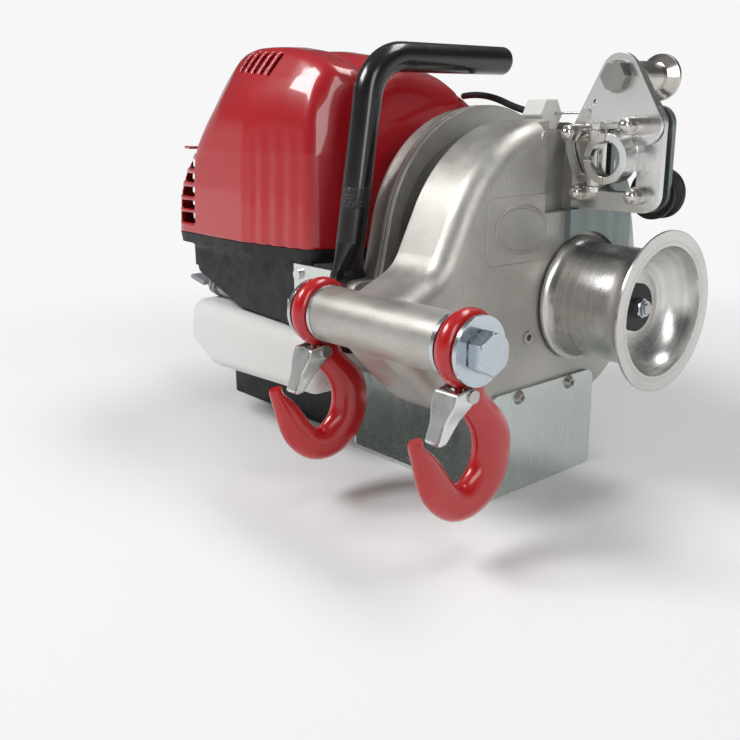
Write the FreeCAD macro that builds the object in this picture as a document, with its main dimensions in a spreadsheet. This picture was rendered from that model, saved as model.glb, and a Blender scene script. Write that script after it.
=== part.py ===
import FreeCAD
import Part
import Sketcher
import math
import os

# Petrol capstan winch: a cast gear housing with a rope drum, two anchor hooks, a rope guide,
# a carrying handle and a small four-stroke engine on its back.
# Millimetres. X runs along the drum axis, the hooks hang on the -Y side, Z is up.
# The origin is the middle of the base plate's underside.

V = FreeCAD.Vector
doc = FreeCAD.newDocument("capstan_winch")
sheet = doc.addObject("Spreadsheet::Sheet", "sizes")

SIZES = {
    # running and seating clearances
    "gap": 0.3, "shaft_play": 0.05, "bolt_play": 0.25,
    # base plate
    "base_length": 154, "base_depth": 121, "base_height": 79, "sheet_metal": 3, "base_corner": 9,
    "base_screw_y": 29.5, "base_screw_z": 73.6, "screw_room": 7,
    # gear housing, outlines in the Y-Z plane
    "face_x": 74, "rim_x": -16, "shoulder_x": 25, "gasket_thick": 1, "cover_thick": 24,
    "neck_depth": 18, "neck_outer": 54, "neck_bore": 43,
    "bowl_y": 27, "bowl_z": 176, "bowl_radius": 103, "house_wall": 7, "face_round": 15,
    "lower_y": 39, "lower_z": 139, "lower_radius": 87, "well_radius": 64,
    "belly_y": -50, "belly_z": 160, "belly_radius": 98,
    "front_y": 10, "front_z": 161, "front_radius": 110,
    "hollow_y": -129, "hollow_z": 197, "hollow_radius": 30,
    "room_y": 24, "room_z": 169, "room_radius": 93.5, "room_lobe_radius": 64,
    "notch_z": 263,
    "back_lobe_y": -12, "back_lobe_z": 128, "back_lobe_radius": 76,
    "rim_lip": 2.2, "rim_lip_width": 4,
    "plug_y": -18, "plug_z": 116.4, "plug_radius": 5,
    # anchor tube and bolt
    "anchor_y": -138.5, "anchor_z": 139.5, "tube_radius": 20, "tube_left": -5, "tube_right": 114,
    "bolt_radius": 8, "washer_thick": 3, "inner_washer_radius": 20.6, "outer_washer_radius": 22,
    "bush_radius": 11.3, "bush_length": 17.5, "bolt_head_flats": 24, "bolt_head_height": 10,
    "anchor_nut_height": 13, "bolt_tail": 5,
    # hooks and latches, measured from the anchor axis
    "eye_radius": 18.2, "eye_rod": 6.8, "hook_thick": 18, "hook_tip_thick": 9,
    "latch_pin_y": -4.5, "latch_pin_z": -27.5, "latch_pin_radius": 2.6, "latch_sheet": 1.5,
    "latch_half_width": 9.9, "spring_x": 3.6, "spring_seat": 5.4, "latch_wire": 1.0, "latch_turns": 1.83,
    "latch_pitch": 1.3,
    # drum and drum shaft
    "drum_y": 39, "drum_z": 139, "barrel_radius": 42.5, "flange_inner": 47.5, "flange_outer": 57.5,
    "drum_start": 76, "drum_end": 149, "bowl_floor": 125.5, "bowl_mouth": 46.5, "drum_bore": 12,
    "hub_washer_radius": 17.5, "stud_radius": 4, "drum_nut_flats": 13,
    # gear train
    "pinion_teeth": 10, "gear_teeth": 45, "drum_gear_teeth": 50, "first_module": 1.75,
    "second_module": 1.95, "drum_module": 2.4, "first_shaft_angle": 149.7, "backlash": 0.35,
    "first_gear_x": -4, "second_gear_x": 14, "drum_gear_x": 29, "gear_thick": 10,
    "drum_gear_thick": 14, "journal_radius": 8, "journal_depth": 7, "bearing_width": 11,
    "bearing_outer": 21, "bearing_x": 51,
    # clutch and crankshaft
    "clutch_radius": 39, "clutch_depth": 20, "crank_radius": 9, "fan_radius": 62,
    "partition": 8, "fan_x": -258,
    # carrying handle
    "handle_x": -36, "handle_tube": 11, "handle_top_z": 316, "handle_end_y": 73,
    "handle_bend": 34, "handle_bend_y": -72, "handle_foot_z": 98, "handle_flat": 8, "handle_foot_y": -98.5,
    # rope guide, in planes square to Y
    "seat": 0.05, "lever_face_y": 20, "lever_sheet": 3, "guide_face_y": 24, "guide_sheet": 4,
    "rear_face_y": 34, "rear_sheet": 4, "pivot_x": 134, "pivot_z": 266.5, "slot_radius": 56.8,
    "slot_width": 6, "slot_start": 187.4, "slot_end": 213, "stop_pin": 2.5,
    "apex_x": 112, "apex_z": 298.4, "lobe_x": 88, "lobe_z": 261.5,
    "foot_x": 86, "foot_right_x": 131.5, "foot_z": 220, "stud_rod": 3, "acorn_flats": 10,
    "long_tip": -7, "short_tip": 8, "wire_pin": 1.6, "wire_pin_x": 86.8,
    "gate_x": 102, "gate_y": 13, "gate_z": 244.5, "gate_pin": 2, "gate_low": 226, "gate_high": 263,
    "gate_reach": 12.9, "ring_x": 114, "ring_front": 6, "ring_back": 19.5,
    "ring_inner": 12, "ring_wall": 5, "guide_bolt_radius": 5, "roller_head": 8,
    "roller_radius": 10.5, "roller_flare": 16, "roller_end_y": 71,
    "wheel_radius": 17.5, "wheel_width": 15, "bracket_sheet": 5, "bracket_clear": 3,
    "bracket_y": 19, "bracket_end_y": 95, "bracket_bolt_y": 56,
    "bracket_bolt_z": 212, "bracket_bolt_pitch": 26,
    # throttle cable
    "cable_radius": 2.6, "wire_radius": 0.8, "wire_y": 26, "wire_z": 274.7,
    "block_flats": 21, "block_length": 17.5, "block_x": 38, "block_y": 21,
    "cable_start_x": -72, "cable_start_y": 62, "cable_start_z": 289,
    # engine
    "engine_right": -63, "case_left": -232, "cover_wall": 3, "cover_base_z": 172,
    "block_base_z": 64, "tray_thick": 9, "foot_left": -294, "starter_radius": 62,
    "starter_x": -298, "cylinder_x": -155, "carb_z": 233, "port_z": 235,
    "switch_x": -230, "switch_z": 215,
}

for row, (alias, number) in enumerate(SIZES.items(), start=1):
    sheet.set("A%d" % row, alias)
    sheet.set("B%d" % row, str(number))
    sheet.setAlias("B%d" % row, alias)
doc.recompute()


class Size:
    """A number that keeps the spreadsheet formula it comes from."""

    def __init__(self, value, text=None):
        self.value = float(value)
        self.bound = text is not None
        self.text = text if text else "(%r)" % float(value)

    def __float__(self):
        return self.value

    def __neg__(self):
        return Size(-self.value, "(0 - %s)" % self.text)

    def join(self, other, sign, value, swap=False):
        other = other if isinstance(other, Size) else Size(other)
        pair = (other.text, self.text) if swap else (self.text, other.text)
        return Size(value, "(%s %s %s)" % (pair[0], sign, pair[1]))

    def __add__(self, other):
        return self.join(other, "+", self.value + float(other))

    def __radd__(self, other):
        return self.join(other, "+", float(other) + self.value, True)

    def __sub__(self, other):
        return self.join(other, "-", self.value - float(other))

    def __rsub__(self, other):
        return self.join(other, "-", float(other) - self.value, True)

    def __mul__(self, other):
        return self.join(other, "*", self.value * float(other))

    def __rmul__(self, other):
        return self.join(other, "*", float(other) * self.value, True)

    def __truediv__(self, other):
        return self.join(other, "/", self.value / float(other))


class Sheet:
    """Every alias of the spreadsheet as a Size."""

    def __init__(self):
        for alias in SIZES:
            setattr(self, alias, Size(float(sheet.get(alias)), "sizes." + alias))


D = Sheet()
parts = []


# Sketch and feature helpers

def keep(label, obj):
    """Name a finished sub-part."""
    obj.Label = label
    parts.append(obj)
    return obj


def bind(obj, prop, size):
    """Set a property and tie it to the spreadsheet."""
    setattr(obj, prop, float(size))
    if isinstance(size, Size):
        obj.setExpression(prop, size.text)


def place(obj, at):
    """Move a sub-part to a point whose coordinates may be sizes."""
    obj.Placement = FreeCAD.Placement(V(*[float(part) for part in at]), FreeCAD.Rotation())
    for letter, part in zip("xyz", at):
        if isinstance(part, Size):
            obj.setExpression("Placement.Base." + letter, part.text)


def new_body(label):
    return doc.addObject("PartDesign::Body", label)


def new_sketch(body, plane, offset=0):
    """A sketch on one of the body's origin planes, moved along +X, +Y or +Z."""
    sketch = body.newObject("Sketcher::SketchObject", body.Name + "_sketch")
    role = plane + "_Plane"
    origin = [item for item in body.Origin.OriginFeatures if item.Role == role][0]
    sketch.AttachmentSupport = [(origin, "")]
    sketch.MapMode = "FlatFace"
    shift = -1 * offset if plane == "XZ" else offset
    sketch.AttachmentOffset = FreeCAD.Placement(V(0, 0, float(shift)), FreeCAD.Rotation())
    if isinstance(shift, Size):
        sketch.setExpression("AttachmentOffset.Base.z", shift.text)
    return sketch


def hold(sketch, kind, size, *where):
    """Add one dimension to a sketch and tie it to the spreadsheet."""
    index = sketch.addConstraint(Sketcher.Constraint(kind, *where, float(size)))
    if isinstance(size, Size):
        sketch.setExpression("Constraints[%d]" % index, size.text)


def hold_point(sketch, geometry, end, u, v):
    hold(sketch, "DistanceX", u, geometry, end)
    hold(sketch, "DistanceY", v, geometry, end)


def polygon(sketch, points):
    """Closed outline through points whose coordinates may be sizes.

    A third value is the radius of the arc that leads to the next point: plus turns
    counter-clockwise, minus clockwise. Without it the edge is straight.
    """
    first = len(sketch.Geometry)
    count = len(points)
    ends = []
    for index, spot in enumerate(points):
        following = points[(index + 1) % count]
        start = V(float(spot[0]), float(spot[1]), 0)
        end = V(float(following[0]), float(following[1]), 0)
        if len(spot) == 2:
            sketch.addGeometry(Part.LineSegment(start, end), False)
            ends.append((1, 2))
            continue
        radius = float(spot[2])
        chord = end - start
        reach = math.sqrt(radius ** 2 - chord.Length ** 2 / 4)
        side = V(-chord.y, chord.x, 0).normalize() * math.copysign(reach, radius)
        centre = (start + end) * 0.5 + side
        begin, stop = (start, end) if radius > 0 else (end, start)
        turn = [math.atan2(item.y - centre.y, item.x - centre.x) for item in (begin, stop)]
        if turn[1] < turn[0]:
            turn[1] += 2 * math.pi
        circle = Part.Circle(centre, V(0, 0, 1), abs(radius))
        sketch.addGeometry(Part.ArcOfCircle(circle, turn[0], turn[1]), False)
        ends.append((1, 2) if radius > 0 else (2, 1))
    for index, spot in enumerate(points):
        after = (index + 1) % count
        sketch.addConstraint(Sketcher.Constraint(
            "Coincident", first + index, ends[index][1], first + after, ends[after][0]))
        hold_point(sketch, first + index, ends[index][0], spot[0], spot[1])
        if len(spot) == 3:
            hold(sketch, "Radius", spot[2] if float(spot[2]) > 0 else -spot[2], first + index)


def ring(sketch, u, v, radius):
    """Circle about a point."""
    shape = Part.Circle(V(float(u), float(v), 0), V(0, 0, 1), float(radius))
    index = sketch.addGeometry(shape, False)
    hold_point(sketch, index, 3, u, v)
    hold(sketch, "Radius", radius, index)


def tangents(circles):
    """Start and end points of the tangent lines round circles; a minus radius is hollow."""
    lines = []
    for index, (u, v, r) in enumerate(circles):
        u2, v2, r2 = circles[(index + 1) % len(circles)]
        du, dv = float(u2) - float(u), float(v2) - float(v)
        turn = math.atan2(dv, du) - math.asin((float(r2) - float(r)) / math.hypot(du, dv))
        nu, nv = -math.sin(turn), math.cos(turn)
        start = V(float(u) - float(r) * nu, float(v) - float(r) * nv, 0)
        end = V(float(u2) - float(r2) * nu, float(v2) - float(r2) * nv, 0)
        lines.append((start, end))
    return lines


def belt(sketch, circles):
    """Outline of arcs about circles, joined by tangent lines, counter-clockwise."""
    lines = tangents(circles)
    count = len(circles)
    first = len(sketch.Geometry)
    ends = []
    for index, (u, v, r) in enumerate(circles):
        centre = V(float(u), float(v), 0)
        come, leave = lines[index - 1][1] - centre, lines[index][0] - centre
        if float(r) < 0:
            come, leave = leave, come
        turn = [math.atan2(point.y, point.x) for point in (come, leave)]
        if turn[1] < turn[0]:
            turn[1] += 2 * math.pi
        circle = Part.Circle(centre, V(0, 0, 1), abs(float(r)))
        sketch.addGeometry(Part.ArcOfCircle(circle, turn[0], turn[1]), False)
        ends.append((1, 2) if float(r) > 0 else (2, 1))
    for start, end in lines:
        sketch.addGeometry(Part.LineSegment(start, end), False)
    for index, (u, v, r) in enumerate(circles):
        arc, line = first + index, first + count + index
        following = first + (index + 1) % count
        hold_point(sketch, arc, 3, u, v)
        hold(sketch, "Radius", r if float(r) > 0 else -r, arc)
        sketch.addConstraint(Sketcher.Constraint("Tangent", arc, ends[index][1], line, 1))
        join = ends[(index + 1) % count][0]
        sketch.addConstraint(Sketcher.Constraint("Tangent", line, 2, following, join))


def box_outline(sketch, u0, v0, u1, v1):
    polygon(sketch, [(u0, v0), (u1, v0), (u1, v1), (u0, v1)])


def pad(body, sketch, thick, back=False):
    """Pad along +X, +Y or +Z, or back against it."""
    feature = body.newObject("PartDesign::Pad", body.Name + "_pad")
    feature.Profile = sketch
    toward = "XZ_Plane" == sketch.AttachmentSupport[0][0].Role
    feature.Reversed = toward != back
    bind(feature, "Length", thick)
    return feature


def pocket(body, sketch, deep, back=False):
    """Cut along +X, +Y or +Z, or back against it."""
    feature = body.newObject("PartDesign::Pocket", body.Name + "_pocket")
    feature.Profile = sketch
    toward = "XZ_Plane" == sketch.AttachmentSupport[0][0].Role
    feature.Reversed = toward == back
    bind(feature, "Length", deep)
    return feature


def round_edges(body, feature, radius, wanted, bevel=False):
    """Fillet or chamfer the edges of the last feature whose middle point is wanted."""
    doc.recompute()
    names = []
    for index, edge in enumerate(feature.Shape.Edges, start=1):
        middle = edge.valueAt((edge.FirstParameter + edge.LastParameter) / 2)
        if wanted(middle, edge):
            names.append("Edge%d" % index)
    kind = "PartDesign::Chamfer" if bevel else "PartDesign::Fillet"
    rounded = body.newObject(kind, body.Name + "_round")
    rounded.Base = (feature, names)
    bind(rounded, "Size" if bevel else "Radius", radius)
    return rounded


TURN_PLANES = {"X": ("XY", "H_Axis"), "Y": ("YZ", "H_Axis"), "Z": ("XZ", "V_Axis")}


def turned(label, axis, at, profile):
    """Lathe-turned piece: profile points are (along the axis, radius)."""
    body = new_body(label)
    plane, line = TURN_PLANES[axis]
    sketch = new_sketch(body, plane)
    points = [(radius, along) for along, radius in profile] if axis == "Z" else profile
    polygon(sketch, points)
    feature = body.newObject("PartDesign::Revolution", body.Name + "_turn")
    feature.Profile = sketch
    feature.ReferenceAxis = (sketch, [line])
    feature.Angle = 360
    place(body, at)
    return keep(label, body)


def plate(label, plane, start, thick, draw, at=None):
    """Flat piece: draw() fills the sketch with its outline and holes."""
    body = new_body(label)
    sketch = new_sketch(body, plane, start)
    draw(sketch)
    pad(body, sketch, thick)
    if at:
        place(body, at)
    return keep(label, body)


def solid(label, shape):
    """Sub-part whose shape is computed from the sheet's sizes."""
    feature = doc.addObject("Part::Feature", label)
    feature.Shape = shape
    return keep(label, feature)


# Shape helpers for lofts, tubes and fasteners

AXES = {"X": V(1, 0, 0), "Y": V(0, 1, 0), "Z": V(0, 0, 1)}


def point(x, y, z):
    return V(float(x), float(y), float(z))


def rod(axis, x, y, z, radius, length):
    """Cylinder from a point along an axis."""
    return Part.makeCylinder(float(radius), float(length), point(x, y, z), AXES[axis])


def block(x0, x1, y0, y1, z0, z1):
    corner = point(x0, y0, z0)
    return Part.makeBox(float(x1 - x0), float(y1 - y0), float(z1 - z0), corner)


def hexagon(axis, x, y, z, flats, height, bevel=True):
    """Hexagon prism from a point along an axis, with bevelled outer corners."""
    radius = float(flats) / 2 / math.cos(math.pi / 6)
    corners = []
    for step in range(7):
        turn = math.pi / 3 * step
        corners.append(V(radius * math.cos(turn), radius * math.sin(turn), 0))
    prism = Part.Face(Part.makePolygon(corners)).extrude(V(0, 0, float(height)))
    if bevel:
        cone = Part.makeCone(radius + float(height) * 2 - 1.2, radius - 1.2, float(height) * 2)
        cone.translate(V(0, 0, -float(height)))
        prism = prism.common(cone)
    prism.Placement = FreeCAD.Placement(V(), FreeCAD.Rotation(V(0, 0, 1), AXES[axis]))
    prism.translate(point(x, y, z))
    return prism


def rounded_path(points, radii):
    """Straight runs joined by tangent arcs: an arc of each radius at each inner point."""
    edges = []
    start = points[0]
    for index in range(1, len(points) - 1):
        corner = points[index]
        before = (points[index - 1] - corner).normalize()
        after = (points[index + 1] - corner).normalize()
        half = before.getAngle(after) / 2
        reach = radii[index - 1] / math.tan(half)
        middle = (before + after).normalize() * (radii[index - 1] / math.sin(half)
                                                 - radii[index - 1])
        arc_start, arc_end = corner + before * reach, corner + after * reach
        edges.append(Part.LineSegment(start, arc_start).toShape())
        edges.append(Part.Arc(arc_start, corner + middle, arc_end).toShape())
        start = arc_end
    edges.append(Part.LineSegment(start, points[-1]).toShape())
    return Part.Wire(edges)


def tube_along(path, radius):
    """Round rod swept along a path of lines and arcs."""
    edge = path.OrderedEdges[0]
    start = edge.valueAt(edge.FirstParameter)
    circle = Part.Circle(start, edge.tangentAt(edge.FirstParameter), float(radius)).toShape()
    return path.makePipeShell([Part.Wire(circle)], True, False)


def fuse(shapes):
    return shapes[0].fuse(shapes[1:]).removeSplitter()


# Derived places that several pieces share

half_base = D.base_length / 2
half_depth = D.base_depth / 2
cover_front_x = D.rim_x - D.gasket_thick
cover_rear_x = cover_front_x - D.cover_thick
neck_rear_x = cover_rear_x - D.neck_depth
near_hook_x = D.tube_right + D.washer_thick + D.bush_length / 2
far_hook_x = D.tube_left - D.washer_thick - D.bush_length / 2
bolt_head_x = D.tube_right + 2 * D.washer_thick + D.bush_length
nut_x = D.tube_left - 2 * D.washer_thick - D.bush_length


def belt_wire(circles):
    """Outline of arcs and tangent lines as a wire in the X-Y plane."""
    lines = tangents(circles)
    edges = []
    for index, (u, v, r) in enumerate(circles):
        centre = V(float(u), float(v), 0)
        come, leave = lines[index - 1][1] - centre, lines[index][0] - centre
        first, second = math.atan2(come.y, come.x), math.atan2(leave.y, leave.x)
        if float(r) > 0 and second < first:
            second += 2 * math.pi
        if float(r) < 0 and second > first:
            second -= 2 * math.pi
        middle = (first + second) / 2
        top = centre + V(math.cos(middle), math.sin(middle), 0) * abs(float(r))
        edges.append(Part.Arc(centre + come, top, centre + leave).toShape())
        edges.append(Part.LineSegment(lines[index][0], lines[index][1]).toShape())
    return Part.Wire(edges)


def belt_solid(x0, x1, circles):
    """Prism along X with an outline of arcs and tangent lines in the Y-Z plane."""
    prism = Part.Face(belt_wire(circles)).extrude(V(0, 0, float(x1 - x0)))
    prism.Placement = FreeCAD.Placement(point(x0, 0, 0), FreeCAD.Rotation(V(0, 1, 0), V(0, 0, 1),
                                                                          V(1, 0, 0), "XYZ"))
    return prism


def flat_shape(y0, thick, circles):
    """Plate square to Y with an outline of arcs and tangent lines in the X-Z plane."""
    prism = Part.Face(belt_wire(circles)).extrude(V(0, 0, float(thick)))
    prism.Placement = FreeCAD.Placement(point(0, float(y0) + float(thick), 0), FreeCAD.Rotation(
        V(1, 0, 0), V(0, 0, 1), V(0, -1, 0), "XYZ"))
    return prism


def gear_places():
    """Axes of the two middle gear shafts, from the teeth and modules of the three pairs."""
    first_gap = float(D.first_module * (D.pinion_teeth + D.gear_teeth) / 2)
    second_gap = float(D.second_module * (D.pinion_teeth + D.gear_teeth) / 2)
    drum_gap = float(D.drum_module * (D.pinion_teeth + D.drum_gear_teeth) / 2)
    turn = math.radians(float(D.first_shaft_angle))
    crank = V(0, float(D.bowl_y), float(D.bowl_z))
    drum = V(0, float(D.drum_y), float(D.drum_z))
    first = crank + V(0, math.cos(turn), math.sin(turn)) * first_gap
    line = drum - first
    along = (second_gap ** 2 - drum_gap ** 2 + line.Length ** 2) / (2 * line.Length)
    aside = math.sqrt(second_gap ** 2 - along ** 2)
    line.normalize()
    second = first + line * along + V(0, -line.z, line.y) * aside
    return first, second


first_axis, second_axis = gear_places()


# Base plate: U-bent zinc-plated sheet, open at the front and the back

def make_base():
    body = new_body("base_plate")
    sketch = new_sketch(body, "XZ", -half_depth)
    inner = half_base - D.sheet_metal
    polygon(sketch, [(-half_base, 0), (half_base, 0), (half_base, D.base_height),
                     (inner, D.base_height), (inner, D.sheet_metal), (-inner, D.sheet_metal),
                     (-inner, D.base_height), (-half_base, D.base_height)])
    bend = pad(body, sketch, D.base_depth)
    top = float(D.base_height)
    corners = round_edges(body, bend, D.base_corner, lambda middle, edge: (
        abs(middle.z - top) < 0.01 and abs(edge.Length - float(D.sheet_metal)) < 0.01))
    holes = new_sketch(body, "YZ", -half_base - 1)
    for side in (-1, 1):
        ring(holes, side * D.base_screw_y, D.base_screw_z, 3 + D.bolt_play)
    pocket(body, holes, D.base_length + 2)
    body.Tip = body.Group[-1]
    keep("base_plate", body)
    return corners


make_base()


# Gear housing: front casting with the anchor tube

def front_outline(sketch):
    belt(sketch, [(D.front_y, D.front_z, D.front_radius),
                  (D.hollow_y, D.hollow_z, -D.hollow_radius),
                  (D.anchor_y, D.anchor_z, D.tube_radius - 1),
                  (D.belly_y, D.belly_z, D.belly_radius),
                  (D.lower_y, D.lower_z, D.lower_radius)])


def rim_outline(sketch):
    """Outline of the casting at its rim, with one arc for each arc of the front."""
    belt(sketch, [(D.bowl_y, D.bowl_z, D.bowl_radius),
                  (D.bowl_y - 132, D.bowl_z + 26, -D.hollow_radius),
                  (D.back_lobe_y - 56, D.back_lobe_z, 18),
                  (D.back_lobe_y + 4, D.back_lobe_z - 4, D.back_lobe_radius - 8),
                  (D.lower_y, D.lower_z, D.lower_radius)])


def back_outline(sketch, inset=0):
    belt(sketch, [(D.bowl_y, D.bowl_z, D.bowl_radius - inset),
                  (D.back_lobe_y, D.back_lobe_z, D.back_lobe_radius - inset),
                  (D.lower_y, D.lower_z, D.lower_radius - inset)])


def room_outline(sketch):
    """Hollow inside for the gears, clear of the narrower front."""
    belt(sketch, [(D.room_y, D.room_z, D.room_radius),
                  (D.back_lobe_y, D.back_lobe_z, D.room_lobe_radius),
                  (D.lower_y, D.lower_z, D.lower_radius - D.house_wall - 2)])


def make_housing():
    body = new_body("gear_housing")
    front = new_sketch(body, "YZ", D.shoulder_x)
    front_outline(front)
    bell = pad(body, front, D.face_x - D.shoulder_x)
    face = float(D.face_x)
    round_edges(body, bell, D.face_round, lambda middle, edge: abs(middle.x - face) < 0.01)
    rim = new_sketch(body, "YZ", D.rim_x)
    rim_outline(rim)
    shoulder = new_sketch(body, "YZ", D.shoulder_x)
    front_outline(shoulder)
    loft = body.newObject("PartDesign::AdditiveLoft", body.Name + "_loft")
    loft.Profile = rim
    loft.Sections = [shoulder]
    loft.Ruled = True
    lip = new_sketch(body, "YZ", D.rim_x)
    back_outline(lip, -1 * D.rim_lip)
    pad(body, lip, D.rim_lip_width)
    tube = new_sketch(body, "YZ", D.tube_left)
    ring(tube, D.anchor_y, D.anchor_z, D.tube_radius)
    pad(body, tube, D.tube_right - D.tube_left)
    foot = new_sketch(body, "YZ", D.rim_x)
    belt(foot, [(12 - half_depth, D.base_screw_z - 5, 7), (half_depth - 12, D.base_screw_z - 7, 7),
                (half_depth - 12, D.base_screw_z + 4, 7), (12 - half_depth, D.base_screw_z + 4, 7)])
    pad(body, foot, half_base - D.sheet_metal - D.rim_x)
    badge = new_sketch(body, "YZ", D.face_x - 1)
    belt(badge, [(0, 213, 7), (-59, 213, 7), (-59, 180, 7), (0, 180, 7)])
    pad(body, badge, 1.8)
    guide_pad = new_sketch(body, "YZ", D.shoulder_x)
    belt(guide_pad, [(57, D.notch_z - 5, 5), (-6, D.notch_z - 5, 5), (-6, 205, 5), (57, 205, 5)])
    pad(body, guide_pad, D.face_x - D.shoulder_x)
    notch = new_sketch(body, "YZ", D.block_x - 12)
    box_outline(notch, D.block_y - 14, D.notch_z, D.block_y + 14, D.notch_z + 30)
    pocket(body, notch, D.face_x - D.block_x + 13)
    recess = new_sketch(body, "YZ", D.face_x - 9)
    box_outline(recess, -6, 206, D.guide_face_y + 3, 300)
    pocket(body, recess, 10)
    chamber = new_sketch(body, "YZ", D.rim_x - 1)
    room_outline(chamber)
    pocket(body, chamber, D.drum_gear_x + D.drum_gear_thick + 3 - D.rim_x + 1)
    well = new_sketch(body, "YZ", D.drum_gear_x)
    ring(well, D.drum_y, D.drum_z, D.well_radius)
    pocket(body, well, D.face_x - D.house_wall - D.drum_gear_x)
    hub = new_sketch(body, "YZ", D.bearing_x - 1)
    ring(hub, D.drum_y, D.drum_z, D.bearing_outer + 6)
    pad(body, hub, D.face_x - D.bearing_x - 1)
    bores = new_sketch(body, "YZ", D.bearing_x - 2)
    ring(bores, D.drum_y, D.drum_z, D.bearing_outer + D.shaft_play)
    ring(bores, D.plug_y, D.plug_z, D.plug_radius + D.shaft_play)
    pocket(body, bores, D.face_x - D.bearing_x + 6)
    blind = new_sketch(body, "YZ", D.bearing_x - 6)
    ring(blind, second_axis.y, second_axis.z, D.journal_radius + D.shaft_play)
    pocket(body, blind, D.journal_depth + 6)
    bolts = new_sketch(body, "YZ", D.face_x + 1)
    for z in (D.bracket_bolt_z, D.bracket_bolt_z + D.bracket_bolt_pitch):
        ring(bolts, D.bracket_bolt_y, z, 4 + D.shaft_play)
    pocket(body, bolts, 8, True)
    anchor = new_sketch(body, "YZ", D.tube_left - 1)
    ring(anchor, D.anchor_y, D.anchor_z, D.bolt_radius + D.bolt_play)
    pocket(body, anchor, D.tube_right - D.tube_left + 2)
    screws = new_sketch(body, "YZ", D.face_x + 1)
    for side in (-1, 1):
        ring(screws, side * D.base_screw_y, D.base_screw_z, 3 + D.bolt_play)
    pocket(body, screws, 18, True)
    body.Tip = body.Group[-1]
    return keep("gear_housing", body)


make_housing()


# Rear cover: the other casting, with the clutch neck and the lug of the handle

def make_rear_cover():
    body = new_body("rear_cover")
    shell = new_sketch(body, "YZ", cover_rear_x)
    back_outline(shell)
    slab = pad(body, shell, D.cover_thick)
    rear = float(cover_rear_x)
    round_edges(body, slab, 8, lambda middle, edge: abs(middle.x - rear) < 0.01)
    lip = new_sketch(body, "YZ", cover_front_x - D.rim_lip_width)
    back_outline(lip, -1 * D.rim_lip)
    pad(body, lip, D.rim_lip_width)
    neck = new_sketch(body, "YZ", neck_rear_x)
    ring(neck, D.bowl_y, D.bowl_z, D.neck_outer)
    pad(body, neck, D.neck_depth + 8)
    lug = new_sketch(body, "YZ", lug_x)
    belt(lug, [(-98, 113, 10), (-60, 113, 10), (-70, 146, 10), (-97, 146, 9)])
    pad(body, lug, cover_front_x - D.rim_lip_width - lug_x)
    seat = new_sketch(body, "YZ", cover_rear_x - 1)
    box_outline(seat, -130, 90, D.handle_foot_y + 14.5, 200)
    pocket(body, seat, lug_x - cover_rear_x + 1)
    foot = new_sketch(body, "YZ", D.sheet_metal - half_base)
    belt(foot, [(-42, D.base_screw_z - 4, 7), (42, D.base_screw_z - 4, 7),
                (42, D.base_screw_z + 4, 7), (-42, D.base_screw_z + 4, 7)])
    pad(body, foot, cover_rear_x + half_base + 6)
    chamber = new_sketch(body, "YZ", neck_rear_x - 1)
    ring(chamber, D.bowl_y, D.bowl_z, D.neck_bore)
    pocket(body, chamber, cover_front_x - D.partition - neck_rear_x + 1)
    bores = new_sketch(body, "YZ", cover_front_x + 1)
    ring(bores, D.drum_y, D.drum_z, D.journal_radius + D.shaft_play)
    for axis in (first_axis, second_axis):
        ring(bores, axis.y, axis.z, D.journal_radius + D.shaft_play)
    pocket(body, bores, D.journal_depth + 1, True)
    through = new_sketch(body, "YZ", cover_front_x + 1)
    ring(through, D.bowl_y, D.bowl_z, D.crank_radius + D.shaft_play)
    pocket(body, through, D.partition + 3, True)
    screws = new_sketch(body, "YZ", D.sheet_metal - half_base - 1)
    for side in (-1, 1):
        ring(screws, side * D.base_screw_y, D.base_screw_z, 3 + D.bolt_play)
    pocket(body, screws, 18)
    holes = new_sketch(body, "YZ", lug_x - 1)
    for z in (D.handle_foot_z + 16, D.handle_foot_z + 46):
        ring(holes, D.handle_foot_y, z, 4 + D.bolt_play)
    pocket(body, holes, 13)
    body.Tip = body.Group[-1]
    return keep("rear_cover", body)


lug_x = D.handle_x + D.handle_flat / 2
make_rear_cover()


def gasket_outline(sketch):
    back_outline(sketch, -1 * D.rim_lip + D.gap)
    room_outline(sketch)


plate("housing_gasket", "YZ", cover_front_x, D.gasket_thick, gasket_outline)


def button_screw(x, y, z, length, toward, radius=3.0, axis="X"):
    """Button-head socket screw: the head's underside is at the point, the shank goes inward."""
    head_height = radius * 1.1
    head = Part.makeCone(radius * 1.85, radius * 1.1, head_height)
    socket = hexagon("Z", 0, 0, head_height - radius * 0.6, radius * 1.2, radius, False)
    shank = Part.makeCylinder(radius, length, V(0, 0, -length))
    screw = head.cut(socket).fuse(shank).removeSplitter()
    screw.Placement = FreeCAD.Placement(point(x, y, z), FreeCAD.Rotation(V(0, 0, 1),
                                                                        AXES[axis] * toward))
    return screw


def make_screws():
    """Four base screws and the two bolts of the handle."""
    screws = []
    for side in (-1, 1):
        y = float(D.base_screw_y) * side
        screws.append(button_screw(half_base, y, D.base_screw_z, 16, 1))
        screws.append(button_screw(-half_base, y, D.base_screw_z, 16, -1))
    for rise in (16, 46):
        screws.append(button_screw(D.handle_x - D.handle_flat / 2, D.handle_foot_y,
                                   D.handle_foot_z + rise, 18, -1, 4.0))
    return solid("housing_screws", Part.makeCompound(screws))


make_screws()
plug_outer = rod("X", D.face_x - 8, D.plug_y, D.plug_z, D.plug_radius, 9)
solid("level_plug", plug_outer.cut(hexagon("X", D.face_x - 4, D.plug_y, D.plug_z, 5, 9, False)))


# Rope drum, its shaft and what holds it

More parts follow.
